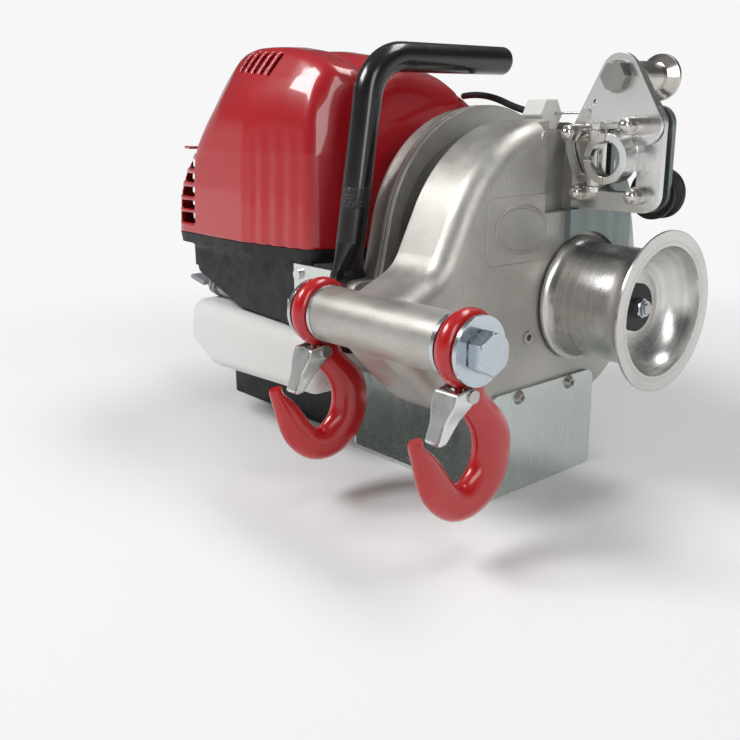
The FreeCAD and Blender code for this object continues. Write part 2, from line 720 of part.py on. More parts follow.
turned("drum", "X", (0, D.drum_y, D.drum_z), [
    (D.drum_start, D.drum_bore), (D.drum_start, 20), (D.bowl_floor - 8, 20),
    (D.bowl_floor - 8, D.barrel_radius - 7), (D.drum_start, D.barrel_radius - 7),
    (D.drum_start, D.flange_inner), (D.drum_start + 2.4, D.flange_inner, 9),
    (D.drum_start + 9, D.barrel_radius + 0.3), (D.drum_end - 22, D.barrel_radius, 21),
    (D.drum_end - 1.6, D.flange_outer), (D.drum_end, D.flange_outer),
    (D.drum_end, D.bowl_mouth, 30), (D.bowl_floor, 27), (D.bowl_floor, D.drum_bore)])
turned("drum_shaft", "X", (0, D.drum_y, D.drum_z), [
    (cover_front_x - D.journal_depth + 1, 0),
    (cover_front_x - D.journal_depth + 1, D.journal_radius),
    (D.rim_x + 4, D.journal_radius), (D.rim_x + 4, D.drum_bore - D.shaft_play),
    (D.bowl_floor - 1, D.drum_bore - D.shaft_play), (D.bowl_floor - 1, D.stud_radius),
    (D.bowl_floor + 10.5, D.stud_radius), (D.bowl_floor + 10.5, 0)])
turned("drum_washer", "X", (0, D.drum_y, D.drum_z), [
    (D.bowl_floor, D.stud_radius + D.shaft_play), (D.bowl_floor, D.hub_washer_radius),
    (D.bowl_floor + 2, D.hub_washer_radius), (D.bowl_floor + 2, D.stud_radius + D.shaft_play)])
drum_nut = hexagon("X", D.bowl_floor + 2, D.drum_y, D.drum_z, D.drum_nut_flats, 5)
drum_nut = drum_nut.fuse(rod("X", D.bowl_floor + 6.9, D.drum_y, D.drum_z, 5.6, 2))
nut_bore = rod("X", D.bowl_floor, D.drum_y, D.drum_z, D.stud_radius + D.shaft_play, 12)
solid("drum_nut", drum_nut.cut(nut_bore))


def bearing(x, y, z):
    outer = rod("X", x, y, z, D.bearing_outer, D.bearing_width)
    groove = rod("X", x, y, z, D.bearing_outer - 3, 1).cut(rod("X", x, y, z, 15, 1))
    back = groove.translated(V(float(D.bearing_width) - 1, 0, 0))
    bore = rod("X", x - 1, y, z, D.drum_bore, D.bearing_width + 2)
    return outer.cut(bore).cut(groove).cut(back)


solid("drum_bearings", Part.makeCompound([
    bearing(D.bearing_x, D.drum_y, D.drum_z),
    bearing(D.bearing_x + D.bearing_width + 0.5, D.drum_y, D.drum_z)]))


# Gear train: three pairs of spur gears

def toothed(x, centre, module, teeth, thick, bore, tooth_at):
    """Spur gear with straight-sided teeth; one tooth points along the angle tooth_at."""
    pitch = float(module) * int(teeth) / 2
    tip, root = pitch + float(module) * 0.85, pitch - float(module) * 1.15
    step = 2 * math.pi / int(teeth)
    slim = float(D.backlash) / pitch / 2
    half = {root: step * 0.36 - slim, pitch: step * 0.25 - slim, tip: step * 0.12 - slim / 2}
    corners = []
    for index in range(int(teeth)):
        middle = tooth_at + index * step
        for radius, side in ((root, -1), (pitch, -1), (tip, -1), (tip, 1), (pitch, 1), (root, 1)):
            turn = middle + side * half[radius]
            corners.append(V(0, radius * math.cos(turn), radius * math.sin(turn)))
    corners.append(corners[0])
    wheel = Part.Face(Part.makePolygon(corners)).extrude(V(float(thick), 0, 0))
    if bore:
        wheel = wheel.cut(rod("X", -1, 0, 0, bore, float(thick) + 2))
    wheel.translate(V(float(x), centre.y, centre.z))
    return wheel


def aim(start, end):
    return math.atan2(end.z - start.z, end.y - start.y)


def gap_at(turn, teeth):
    """Angle of a tooth so that a gap faces the given direction."""
    return turn + math.pi / int(teeth)


crank_axis = V(0, float(D.bowl_y), float(D.bowl_z))
drum_axis = V(0, float(D.drum_y), float(D.drum_z))
small, large, last = D.pinion_teeth.value, D.gear_teeth.value, D.drum_gear_teeth.value
web_holes = 6


def lightened(gear, centre, x, thick, radius, hole):
    """Round holes through the web of a gear."""
    for index in range(web_holes):
        turn = 2 * math.pi * index / web_holes
        gear = gear.cut(rod("X", x - 1, centre.y + radius * math.cos(turn),
                            centre.z + radius * math.sin(turn), hole, float(thick) + 2))
    return gear


first_gear = toothed(D.first_gear_x, first_axis, D.first_module, large, D.gear_thick,
                     D.journal_radius, gap_at(aim(first_axis, crank_axis), large))
solid("first_gear", lightened(first_gear, first_axis, D.first_gear_x, D.gear_thick, 23, 7))
first_pinion = toothed(D.second_gear_x - 1, first_axis, D.second_module, small,
                       D.gear_thick + 2, 0, aim(first_axis, second_axis))
journal_start = cover_front_x - D.journal_depth + 1
first_rod = rod("X", journal_start, first_axis.y, first_axis.z,
                D.journal_radius - D.shaft_play, D.second_gear_x - 1 - journal_start)
solid("first_shaft", first_rod.fuse(first_pinion))
second_gear = toothed(D.second_gear_x, second_axis, D.second_module, large, D.gear_thick,
                      D.journal_radius, gap_at(aim(second_axis, first_axis), large))
solid("second_gear", lightened(second_gear, second_axis, D.second_gear_x, D.gear_thick, 27, 8))
second_pinion = toothed(D.drum_gear_x - 1, second_axis, D.drum_module, small,
                        D.drum_gear_thick + 2, 0, aim(second_axis, drum_axis))
second_rod = rod("X", journal_start, second_axis.y, second_axis.z,
                 D.journal_radius - D.shaft_play, D.bearing_x + D.journal_depth - 1 - journal_start)
solid("second_shaft", second_rod.fuse(second_pinion))
drum_gear = toothed(D.drum_gear_x, drum_axis, D.drum_module, last, D.drum_gear_thick,
                    D.drum_bore, gap_at(aim(drum_axis, second_axis), last))
solid("drum_gear", lightened(drum_gear, drum_axis, D.drum_gear_x, D.drum_gear_thick, 36, 10))


# Centrifugal clutch and crankshaft

drum_back = cover_front_x - D.partition - 1
input_length = D.first_gear_x - 1 - drum_back
clutch_cup = rod("X", drum_back - D.clutch_depth, crank_axis.y, crank_axis.z,
                 D.clutch_radius, D.clutch_depth)
clutch_cup = clutch_cup.cut(rod("X", drum_back - D.clutch_depth - 3, crank_axis.y, crank_axis.z,
                                D.clutch_radius - 3, D.clutch_depth))
clutch_shaft = rod("X", drum_back - 1, crank_axis.y, crank_axis.z, D.crank_radius, input_length + 1)
shaft_tip = D.first_gear_x - 1
input_pinion = toothed(shaft_tip, crank_axis, D.first_module, small, D.gear_thick + 2, 0,
                       aim(crank_axis, first_axis))
solid("clutch_drum", clutch_cup.fuse([clutch_shaft, input_pinion]))

shoe_depth = D.clutch_depth - 6
shoe_x = drum_back - 3 - D.gap - shoe_depth - 1
shoe = rod("X", shoe_x, crank_axis.y, crank_axis.z, D.clutch_radius - 3.6, shoe_depth)
shoe = shoe.cut(rod("X", shoe_x - 1, crank_axis.y, crank_axis.z, D.crank_radius + D.shaft_play,
                    shoe_depth + 2))
slit = block(shoe_x - 1, shoe_x + shoe_depth + 1, crank_axis.y - 2, crank_axis.y + 2,
             crank_axis.z - 60, crank_axis.z + 60)
solid("clutch_shoes", shoe.cut(slit))

turned("crankshaft", "X", (0, D.bowl_y, D.bowl_z), [
    (D.fan_x - 28, 0), (D.fan_x - 28, D.crank_radius - 3),
    (D.fan_x - 4, D.crank_radius - 3), (D.fan_x - 4, D.crank_radius),
    (shoe_x + shoe_depth, D.crank_radius), (shoe_x + shoe_depth, 0)])


def make_fan():
    """Flywheel with curved fan blades on its back."""
    x = D.fan_x
    wheel = rod("X", x, crank_axis.y, crank_axis.z, D.fan_radius, 5)
    hub = rod("X", x, crank_axis.y, crank_axis.z, 20, 14)
    blades = []
    inner, outer = 30, float(D.fan_radius) - 2
    for index in range(12):
        start = V(0, inner, 0)
        middle = V(0, (inner + outer) / 2, 5)
        end = V(0, outer, 0)
        curve = Part.Arc(start, middle, end).toShape()
        blade = curve.extrude(V(12, 0, 0))
        thick = blade.makeOffsetShape(2, 0.01, fill=True)
        thick.rotate(V(), V(1, 0, 0), index * 30)
        thick.translate(V(float(x) + 4, crank_axis.y, crank_axis.z))
        blades.append(thick)
    fan = wheel.fuse([hub] + blades)
    bore = rod("X", x - 2, crank_axis.y, crank_axis.z, D.crank_radius, 20)
    return solid("fan_flywheel", fan.cut(bore))


make_fan()


# Anchor bolt with its washers, bushes and nut

def make_anchor():
    y, z = D.anchor_y, D.anchor_z
    shank_start = nut_x - D.anchor_nut_height - D.bolt_tail
    shank = rod("X", shank_start, y, z, D.bolt_radius, bolt_head_x - shank_start)
    collar = rod("X", bolt_head_x, y, z, D.bolt_head_flats / 2 - 0.5, 1)
    head = hexagon("X", bolt_head_x + 0.8, y, z, D.bolt_head_flats, D.bolt_head_height)
    solid("anchor_bolt", shank.fuse([collar, head]))
    loose = D.bolt_radius + D.bolt_play
    pieces = []
    near_bush = D.tube_right + D.washer_thick
    far_bush = D.tube_left - D.washer_thick - D.bush_length
    for x, radius, thick in (
            (D.tube_right, D.inner_washer_radius, D.washer_thick),
            (near_bush, D.bush_radius, D.bush_length),
            (bolt_head_x - D.washer_thick, D.outer_washer_radius, D.washer_thick),
            (D.tube_left - D.washer_thick, D.inner_washer_radius, D.washer_thick),
            (far_bush, D.bush_radius, D.bush_length),
            (nut_x, D.outer_washer_radius, D.washer_thick)):
        ring_solid = rod("X", x, y, z, radius, thick)
        pieces.append(ring_solid.cut(rod("X", x - 1, y, z, loose, thick + 2)))
    nut = hexagon("X", nut_x - D.anchor_nut_height, y, z, D.bolt_head_flats, D.anchor_nut_height)
    bore = rod("X", nut_x - D.anchor_nut_height - 1, y, z, D.bolt_radius + D.shaft_play,
               D.anchor_nut_height + 2)
    pieces.append(nut.cut(bore))
    solid("anchor_washers", Part.makeCompound(pieces))


make_anchor()


# Hooks: forged eye hooks, each section runs from an outer to an inner point of the profile

HOOK_SECTIONS = [
    # outer y, z, inner y, z from the anchor axis, share of the full thickness
    (13.5, -17, -9.5, -15, 0.74),
    (16, -29, -8.5, -31, 0.76),
    (30, -44.5, -0.5, -45.5, 0.86),
    (38.8, -59, 7, -57.5, 0.95),
    (40.2, -74, 8.6, -68, 1.0),
    (35.5, -91, 6, -78, 1.0),
    (23, -105, 0.5, -84, 1.0),
    (4.5, -112, -5, -86.6, 1.0),
    (-12, -110.3, -11, -84, 0.98),
    (-25.5, -102, -16, -77.5, 0.92),
    (-36, -89, -21.5, -69.5, 0.84),
    (-41.8, -73, -27.5, -62, 0.72),
    (-45.5, -59, -34, -56, 0.6),
    (-47.2, -50.5, -38, -48.5, 0.42),
]


def hook_shape(x):
    wires = []
    for outer_y, outer_z, inner_y, inner_z, share in HOOK_SECTIONS:
        outer = V(0, outer_y, outer_z)
        inner = V(0, inner_y, inner_z)
        middle = (outer + inner) * 0.5
        deep = V(float(D.hook_thick) * share / 2, 0, 0)
        around = []
        for step in range(17):
            turn = math.pi * step / 8
            around.append(middle + (outer - middle) * math.cos(turn) + deep * math.sin(turn))
        halves = []
        for points in (around[:9], around[8:]):
            curve = Part.BSplineCurve()
            curve.interpolate(points)
            halves.append(curve.toShape())
        wires.append(Part.Wire(halves))
    shank = Part.makeLoft(wires, True, False)
    eye = Part.makeTorus(float(D.eye_radius), float(D.eye_rod), V(), V(1, 0, 0))
    pin_hole = rod("X", -20, D.latch_pin_y, D.latch_pin_z, D.latch_pin_radius + D.shaft_play, 40)
    spring_seat = rod("X", D.spring_x, D.latch_pin_y, D.latch_pin_z, D.spring_seat, 20)
    hook = eye.fuse(shank)
    hook = hook.cut(rod("X", -20, 0, 0, D.eye_radius - D.eye_rod, 40))
    hook = hook.cut(pin_hole).cut(spring_seat)
    hook.translate(point(x, D.anchor_y, D.anchor_z))
    return hook


def latch_shape(x):
    """U-section stamping: two cheeks on the pin, joined by a web on the open side."""
    pin_y, pin_z = float(D.latch_pin_y), float(D.latch_pin_z)
    outer = [(pin_y, pin_z, 5), (-16, -26.5, 2.5), (-27.2, -53.6, 2), (-23.5, -53.2, 2)]
    web_run = V(0, -27.2 + 16, -53.6 + 26.5).normalize()
    inward = V(0, -web_run.z, web_run.y) * float(D.latch_sheet)
    half = D.latch_half_width
    shell = belt_solid(-half, half, outer)
    room_half = half - D.latch_sheet
    room = belt_solid(-room_half, room_half, [
        (pin_y + 4, pin_z + 5, 9), (-16 + inward.y, -26.5 + inward.z, 2.5),
        (-27.2 + inward.y * 1.1, -53.6 + inward.z, 2), (-12, -62, 2)])
    latch = shell.cut(room)
    top_gap = block(-room_half, room_half, -14.2, 20, -34, -15)
    latch = latch.cut(top_gap)
    latch = latch.cut(rod("X", -20, pin_y, pin_z, D.latch_pin_radius + D.shaft_play, 40))
    latch.translate(point(x, D.anchor_y, D.anchor_z))
    return latch


def latch_pin_shape(x):
    half = D.latch_half_width + 0.1
    shank = rod("X", -half, D.latch_pin_y, D.latch_pin_z, D.latch_pin_radius, half * 2)
    heads = [rod("X", -half - 1.6, D.latch_pin_y, D.latch_pin_z, D.latch_pin_radius + 1.7, 1.6),
             rod("X", half, D.latch_pin_y, D.latch_pin_z, D.latch_pin_radius + 1.7, 1.6)]
    pin = shank.fuse(heads)
    pin.translate(point(x, D.anchor_y, D.anchor_z))
    return pin


WIRE_SIDES = 12


def coil_tube(radius, wire, turns, pitch, first_tail, last_tail):
    """Torsion spring about Z: a helix of wire that runs on into a straight tail at each end."""
    climb = pitch / (2 * math.pi)

    def spot(turn):
        return V(radius * math.cos(turn), radius * math.sin(turn), climb * turn)

    def heading(turn):
        return V(-radius * math.sin(turn), radius * math.cos(turn), climb).normalize()

    whole = 2 * math.pi * turns
    tip = spot(0) - heading(0) * first_tail
    helix = Part.makeHelix(pitch, pitch * turns, radius)
    path = Part.Wire([Part.makeLine(tip, spot(0))] + helix.Edges
                     + [Part.makeLine(spot(whole), spot(whole) + heading(whole) * last_tail)])
    across = V(1, 0, 0)
    other = heading(0).cross(across)
    # corners far enough out that the section has the area of the round wire
    corner = wire / 2 * math.sqrt(2 * math.pi / WIRE_SIDES / math.sin(2 * math.pi / WIRE_SIDES))
    ring = []
    for index in range(WIRE_SIDES + 1):
        angle = 2 * math.pi * (index % WIRE_SIDES) / WIRE_SIDES
        ring.append(tip + across * (corner * math.cos(angle)) + other * (corner * math.sin(angle)))
    return path.makePipeShell([Part.makePolygon(ring)], True, False)


def latch_spring_shape(x):
    wire = float(D.latch_wire)
    radius = float(D.latch_pin_radius) + 0.4 + wire / 2
    spring = coil_tube(radius, wire, float(D.latch_turns), float(D.latch_pitch), 3.2, 9)
    spring.Placement = FreeCAD.Placement(V(), FreeCAD.Rotation(V(0, 1, 0), V(0, 0, 1),
                                                               V(1, 0, 0), "XYZ"))
    spring.rotate(V(), V(1, 0, 0), 160)
    spring.translate(point(x + D.spring_x + 0.4 + D.latch_wire / 2,
                           D.anchor_y + D.latch_pin_y, D.anchor_z + D.latch_pin_z))
    return spring


for side, hook_x in (("near", near_hook_x), ("far", far_hook_x)):
    solid(side + "_hook", hook_shape(hook_x))
    solid(side + "_latch", latch_shape(hook_x))
    solid(side + "_latch_pin", latch_pin_shape(hook_x))
    solid(side + "_latch_spring", latch_spring_shape(hook_x))
print("least gap between turns of a latch spring:", float(D.latch_pitch - D.latch_wire))


# Carrying handle: a bent tube, pressed flat at its foot and bolted to the rear cover

def make_handle():
    x = D.handle_x.value
    foot_y, foot_z = D.handle_foot_y.value, D.handle_foot_z.value
    top_z, tube = D.handle_top_z.value, D.handle_tube.value
    bend_y = D.handle_bend_y.value
    press_z = foot_z + 66
    lean = (bend_y - foot_y) / (top_z - press_z)
    low = V(x, foot_y + lean * 18, press_z + 18)
    path = rounded_path([V(x, D.handle_end_y.value, top_z), V(x, bend_y, top_z), low],
                        [D.handle_bend.value])
    bar = tube_along(path, tube)
    end = [edge for edge in bar.Edges
           if abs(edge.CenterOfMass.y - D.handle_end_y.value) < 0.01]
    bar = bar.makeFillet(tube * 0.45, end)
    half = D.handle_flat.value / 2
    run = (V(x, bend_y, top_z) - low).normalize()
    upper = Part.Circle(low, run, tube).toShape()
    oval = Part.Ellipse(V(), tube * 1.36, half)
    lower = oval.toShape()
    lower.Placement = FreeCAD.Placement(V(x, foot_y, press_z - 6), FreeCAD.Rotation(
        V(0, 1, 0), V(-1, 0, 0), V(0, 0, 1), "XYZ"))
    neck = Part.makeLoft([Part.Wire(upper), Part.Wire(lower)], True, True)
    flat = belt_solid(D.handle_x - half, D.handle_x + half, [
        (foot_y, foot_z + 14, 14), (foot_y, press_z - 8, 14)])
    handle = bar.fuse([neck, flat])
    for rise in (16, 46):
        handle = handle.cut(rod("X", D.handle_x - 10, D.handle_foot_y, D.handle_foot_z + rise,
                                4 + D.bolt_play, 20))
    return solid("carry_handle", handle)


make_handle()


# Rope guide: a fixed bracket and front plate, and a lever that swings about the right stud

pivot = V(float(D.pivot_x), 0, float(D.pivot_z))


def about_pivot(radius, turn):
    """Point of the guide's plane at a radius and an angle from the lever's pivot."""
    return (pivot.x + radius * math.cos(math.radians(turn)),
            pivot.z + radius * math.sin(math.radians(turn)))


def guide_outline(y0, thick, left):
    """Outline shared by the front and the rear plate."""
    lower = flat_shape(y0, thick, [(left + 2, 210, 2), (D.pivot_x, 221, 13),
                                   (D.pivot_x, D.pivot_z, 13), (98, 272, 4), (left + 2, 252, 2)])
    return lower


def stud_hole(x, z, radius):
    return rod("Y", x, 0, z, radius, 80)


def make_guide_plate():
    y, thick = D.guide_face_y, D.guide_sheet
    left = D.face_x.value + 0.3
    plate_shape = guide_outline(y, thick, left)
    tip = flat_shape(y, thick, [(left + 2, 240, 2), (left + 5, 240, 2), (left + 5, 260, 2),
                                (left + 2, 260, 2)])
    plate_shape = plate_shape.fuse(tip)
    plate_shape = plate_shape.cut(block(81, 96, y - 1, y + thick + 1, 254, 290))
    window = flat_shape(y - 1, thick + 2, [(103, 224, 3), (125, 224, 3), (125, 261, 3),
                                           (103, 261, 3)])
    plate_shape = plate_shape.cut(window)
    centre = V(float(D.ring_x), 0, float(D.gate_z))
    ring_full = rod("Y", centre.x, D.ring_front, centre.z, D.ring_inner + D.ring_wall,
                    D.ring_back - D.ring_front)
    ring_full = ring_full.cut(rod("Y", centre.x, D.ring_front - 1, centre.z, D.ring_inner, 60))
    right = ring_full.cut(rod("Z", D.gate_x, D.gate_y, 200, D.gate_reach + D.gap, 100))
    right = right.cut(block(60, centre.x, 0, 40, 200, 300))
    web = block(centre.x + D.ring_inner + 1, centre.x + D.ring_inner + 5, D.ring_back - 2, y + 1,
                centre.z - 8, centre.z + 4)
    plate_shape = plate_shape.fuse([right, web])
    for z in (D.gate_low - 4.5, D.gate_high + 1):
        tab = block(D.gate_x - 5.5, D.gate_x + 5.5, D.gate_y, y + 0.5, z, z + 3.5)
        nose = rod("Z", D.gate_x, D.gate_y, z, 5.5, 3.5)
        plate_shape = plate_shape.fuse([tab, nose])
    plate_shape = plate_shape.cut(rod("Z", D.gate_x, D.gate_y, 200, D.gate_pin + D.shaft_play, 100))
    for x, z in ((D.foot_x, D.foot_z), (D.foot_right_x, D.foot_z), (D.pivot_x, D.pivot_z)):
        plate_shape = plate_shape.cut(stud_hole(x, z, D.stud_rod + D.shaft_play))
    stop_x, stop_z = about_pivot(D.slot_radius.value, D.slot_start.value + 2.2)
    plate_shape = plate_shape.cut(stud_hole(stop_x, stop_z, D.stop_pin + D.shaft_play))
    return solid("guide_plate", plate_shape.removeSplitter())


make_guide_plate()


def make_guide_bracket():
    """Plate on the housing's pad, cut round the drum, with the rear plate welded to it."""
    x0, x1 = D.face_x, D.face_x + D.bracket_sheet
    y0, y1 = D.bracket_y, D.bracket_end_y
    top = D.notch_z - 1
    side = belt_solid(x0, x1, [(y0 + 2, 168, 2), (y1 - 3, 168, 3), (y1 - 3, 212, 3),
                               (62, top - 3, 3), (y0 + 2, top - 2, 2)])
    clear_round = D.flange_inner + D.bracket_clear
    side = side.cut(rod("X", x0 - 1, D.drum_y, D.drum_z, clear_round, D.bracket_sheet + 2))
    side = side.cut(block(x0 - 1, x1 + 1, y0 - 1, D.guide_face_y + D.guide_sheet + D.gap, 207, 300))
    side = side.cut(block(x0 - 1, x1 + 1, y0 - 1, D.drum_y, 150, 180))
    for z in (D.bracket_bolt_z, D.bracket_bolt_z + D.bracket_bolt_pitch):
        side = side.cut(rod("X", x0 - 1, D.bracket_bolt_y, z, 4 + D.bolt_play, 9))
    rear = guide_outline(D.rear_face_y, D.rear_sheet, x1.value - 1)
    window = flat_shape(D.rear_face_y - 1, D.rear_sheet + 2, [
        (103, 224, 3), (125, 224, 3), (125, 261, 3), (103, 261, 3)])
    rear = rear.cut(window)
    for x, z in ((D.foot_x, D.foot_z), (D.foot_right_x, D.foot_z), (D.pivot_x, D.pivot_z)):
        rear = rear.cut(stud_hole(x, z, D.stud_rod + D.shaft_play))
    return solid("guide_bracket", side.fuse(rear).removeSplitter())


make_guide_bracket()


def acorn(x, z, y_tip, y_seat):
    """Acorn nut with its dome towards -Y, on a collar down to the seat."""
    across = D.acorn_flats.value
    nut_y = float(y_tip) + 5
    dome = Part.makeSphere(across / 2 - 0.4, point(x, nut_y + 0.2, z))
    nut = hexagon("Y", x, nut_y, z, across, 6, False)
    collar = rod("Y", x, nut_y + 6, z, across / 2 + 1.2, float(y_seat) - nut_y - 6)
    return [dome, nut, collar]


def make_guide_studs():
    """Three fixed studs with acorn nuts, the stop pin, the gate pin and the bracket's bolts."""
    pieces = []
    rear_y = D.rear_face_y + D.rear_sheet
    front = D.lever_face_y - D.seat
    stud = rod("Y", D.pivot_x, front - 4, D.pivot_z, D.stud_rod, rear_y + 6 - front + 4)
    pieces.append(fuse([stud] + acorn(D.pivot_x, D.pivot_z, D.long_tip, front)
                       + [hexagon("Y", D.pivot_x, rear_y + D.seat, D.pivot_z, 10, 5, False)]))
    for x in (D.foot_x, D.foot_right_x):
        reach = rear_y + 6 if x is D.foot_x else rear_y + D.wheel_width + 8
        rod_shape = rod("Y", x, D.guide_face_y - 4, D.foot_z, D.stud_rod, reach - D.guide_face_y + 4)
        spacer = rod("Y", x, D.guide_face_y + D.guide_sheet + D.seat, D.foot_z, 4.5,
                     D.rear_face_y - D.guide_face_y - D.guide_sheet - 2 * D.seat)
        group = [rod_shape, spacer] + acorn(x, D.foot_z, D.short_tip, D.guide_face_y - D.seat)
        nut_at = reach - 5.5 if x is D.foot_x else reach - 5
        group.append(hexagon("Y", x, nut_at + D.seat, D.foot_z, 10, 5, False))
        pieces.append(fuse(group))
    stop_x, stop_z = about_pivot(D.slot_radius.value, D.slot_start.value + 2.2)
    stop = rod("Y", stop_x, D.lever_face_y - 2, stop_z, D.stop_pin,
               D.guide_face_y + D.guide_sheet - D.lever_face_y + 2)
    pieces.append(stop)
    pin = rod("Z", D.gate_x, D.gate_y, D.gate_low - 5.5, D.gate_pin, D.gate_high - D.gate_low + 11)
    pin_head = rod("Z", D.gate_x, D.gate_y, D.gate_high + 4.5 + D.seat, 3.2, 1.4)
    pieces.append(pin.fuse(pin_head))
    for z in (D.bracket_bolt_z, D.bracket_bolt_z + D.bracket_bolt_pitch):
        bolt = rod("X", D.face_x - 6.5, D.bracket_bolt_y, z, 4, D.bracket_sheet + 7)
        head = hexagon("X", D.face_x + D.bracket_sheet + D.seat, D.bracket_bolt_y, z, 13, 5.3)
        pieces.append(bolt.fuse(head))
    return solid("guide_studs", Part.makeCompound(pieces))


make_guide_studs()


def lever_hull(y0, thick, apex, lobe, hinge):
    return flat_shape(y0, thick, [(D.lobe_x, D.lobe_z, lobe), (D.pivot_x, D.pivot_z, hinge),
                                  (D.apex_x, D.apex_z, apex)])


def make_guide_lever():
    front_y, thick = D.lever_face_y, D.lever_sheet
    rear_arm_y = D.guide_face_y + D.guide_sheet + 1.3
    front = lever_hull(front_y, thick, 15.5, 12.5, 13)
    inner, outer = D.slot_radius.value - 8.5, D.slot_radius.value + 8.5
    disc = rod("Y", pivot.x, front_y, pivot.z, outer, thick)
    disc = disc.cut(rod("Y", pivot.x, front_y - 1, pivot.z, inner, thick + 2))
    reach = 90
    wedge = [V(pivot.x, 0, pivot.z)]
    for turn in (182, D.slot_end.value):
        x, z = about_pivot(reach, turn)
        wedge.append(V(x, 0, z))
    wedge.append(wedge[0])
    sector = Part.Face(Part.makePolygon(wedge)).extrude(V(0, 40, 0))
    end_x, end_z = about_pivot(D.slot_radius.value, D.slot_end.value)
    band = disc.common(sector).fuse(rod("Y", end_x, front_y, end_z, 8.5, thick))
    front = front.fuse(band)
    slot_ring = rod("Y", pivot.x, front_y - 1, pivot.z, D.slot_radius + D.slot_width / 2, thick + 2)
    slot_ring = slot_ring.cut(rod("Y", pivot.x, front_y - 2, pivot.z,
                                  D.slot_radius - D.slot_width / 2, thick + 4))
    wedge = [V(pivot.x, 0, pivot.z)]
    for turn in (D.slot_start.value, D.slot_end.value):
        x, z = about_pivot(reach, turn)
        wedge.append(V(x, 0, z))
    wedge.append(wedge[0])
    slot = slot_ring.common(Part.Face(Part.makePolygon(wedge)).extrude(V(0, 40, 0)))
    for turn in (D.slot_start.value, D.slot_end.value):
        x, z = about_pivot(D.slot_radius.value, turn)
        slot = slot.fuse(rod("Y", x, front_y - 1, z, D.slot_width / 2, thick + 2))
    front = front.cut(slot)
    front = front.cut(block(96.5, 120.5, front_y - 1, front_y + thick + 1, 225, 268.5))
    front = front.cut(stud_hole(93.7, 282.3, 1.6))
    arm = lever_hull(rear_arm_y, 3, 12, 8, 11)
    arm = arm.cut(flat_shape(rear_arm_y - 1, 5, [(100, 268, 5), (122, 268, 5), (112, 284, 4)]))
    spacer = rod("Y", D.apex_x, front_y + 1, D.apex_z, 9, rear_arm_y - front_y)
    lever = front.fuse([arm, spacer])
    lever = lever.cut(stud_hole(D.pivot_x, D.pivot_z, D.stud_rod + D.shaft_play))
    lever = lever.cut(stud_hole(D.lobe_x, D.lobe_z, D.stud_rod + D.shaft_play))
    lever = lever.cut(stud_hole(D.wire_pin_x, D.wire_z, D.wire_pin + D.shaft_play))
    lever = lever.cut(stud_hole(D.apex_x, D.apex_z, D.guide_bolt_radius + D.shaft_play))
    return solid("guide_lever", lever.removeSplitter())


make_guide_lever()


def make_lever_stud():
    """The lever's own stud and the pin that the throttle wire is hooked on."""
    arm_end = D.guide_face_y + D.guide_sheet + 4.3
    front = D.lever_face_y - D.seat
    stud = rod("Y", D.lobe_x, front - 4, D.lobe_z, D.stud_rod, arm_end + 4 - front)
    nut = hexagon("Y", D.lobe_x, D.lever_face_y + D.lever_sheet + D.seat, D.lobe_z, 10, 4, False)
    first = fuse([stud, nut] + acorn(D.lobe_x, D.lobe_z, D.long_tip, front))
    pin = rod("Y", D.wire_pin_x, D.lever_face_y - 1, D.wire_z, D.wire_pin, arm_end - D.lever_face_y + 1)
    cap = rod("Y", D.wire_pin_x, D.lever_face_y - D.seat - 1.2, D.wire_z, 3.6, 1.2)
    return solid("lever_stud", Part.makeCompound([first, pin.fuse(cap)]))


make_lever_stud()

rear_arm_end = D.guide_face_y + D.guide_sheet + 4.3
roller_start = rear_arm_end + 5
bolt_face = D.lever_face_y - D.seat
roller_rod = rod("Y", D.apex_x, bolt_face - 1, D.apex_z, D.guide_bolt_radius,
                 D.roller_end_y + 2 - bolt_face)
roller_head = hexagon("Y", D.apex_x, bolt_face - D.roller_head, D.apex_z, 17, D.roller_head)
roller_washer = rod("Y", D.apex_x, bolt_face - 1.6, D.apex_z, 11, 1.6)
roller_bush = rod("Y", D.apex_x, rear_arm_end + D.seat, D.apex_z, 8, 5 - D.gap - D.seat)
solid("roller_bolt", roller_rod.fuse([roller_head, roller_washer, roller_bush]))
turned("top_roller", "Y", (D.apex_x, 0, D.apex_z), [
    (roller_start, D.guide_bolt_radius + D.shaft_play), (roller_start, D.roller_radius),
    (D.roller_end_y - 9, D.roller_radius), (D.roller_end_y - 2.5, D.roller_flare),
    (D.roller_end_y, D.roller_flare), (D.roller_end_y, D.guide_bolt_radius + D.shaft_play)])
wheel_start = D.rear_face_y + D.rear_sheet + 0.6
turned("rope_wheel", "Y", (D.foot_right_x, 0, D.foot_z), [
    (wheel_start, D.stud_rod + D.shaft_play), (wheel_start, D.wheel_radius),
    (wheel_start + 3, D.wheel_radius), (wheel_start + 6, D.wheel_radius - 3),
    (wheel_start + D.wheel_width - 6, D.wheel_radius - 3),
    (wheel_start + D.wheel_width - 3, D.wheel_radius), (wheel_start + D.wheel_width, D.wheel_radius),
    (wheel_start + D.wheel_width, D.stud_rod + D.shaft_play)])


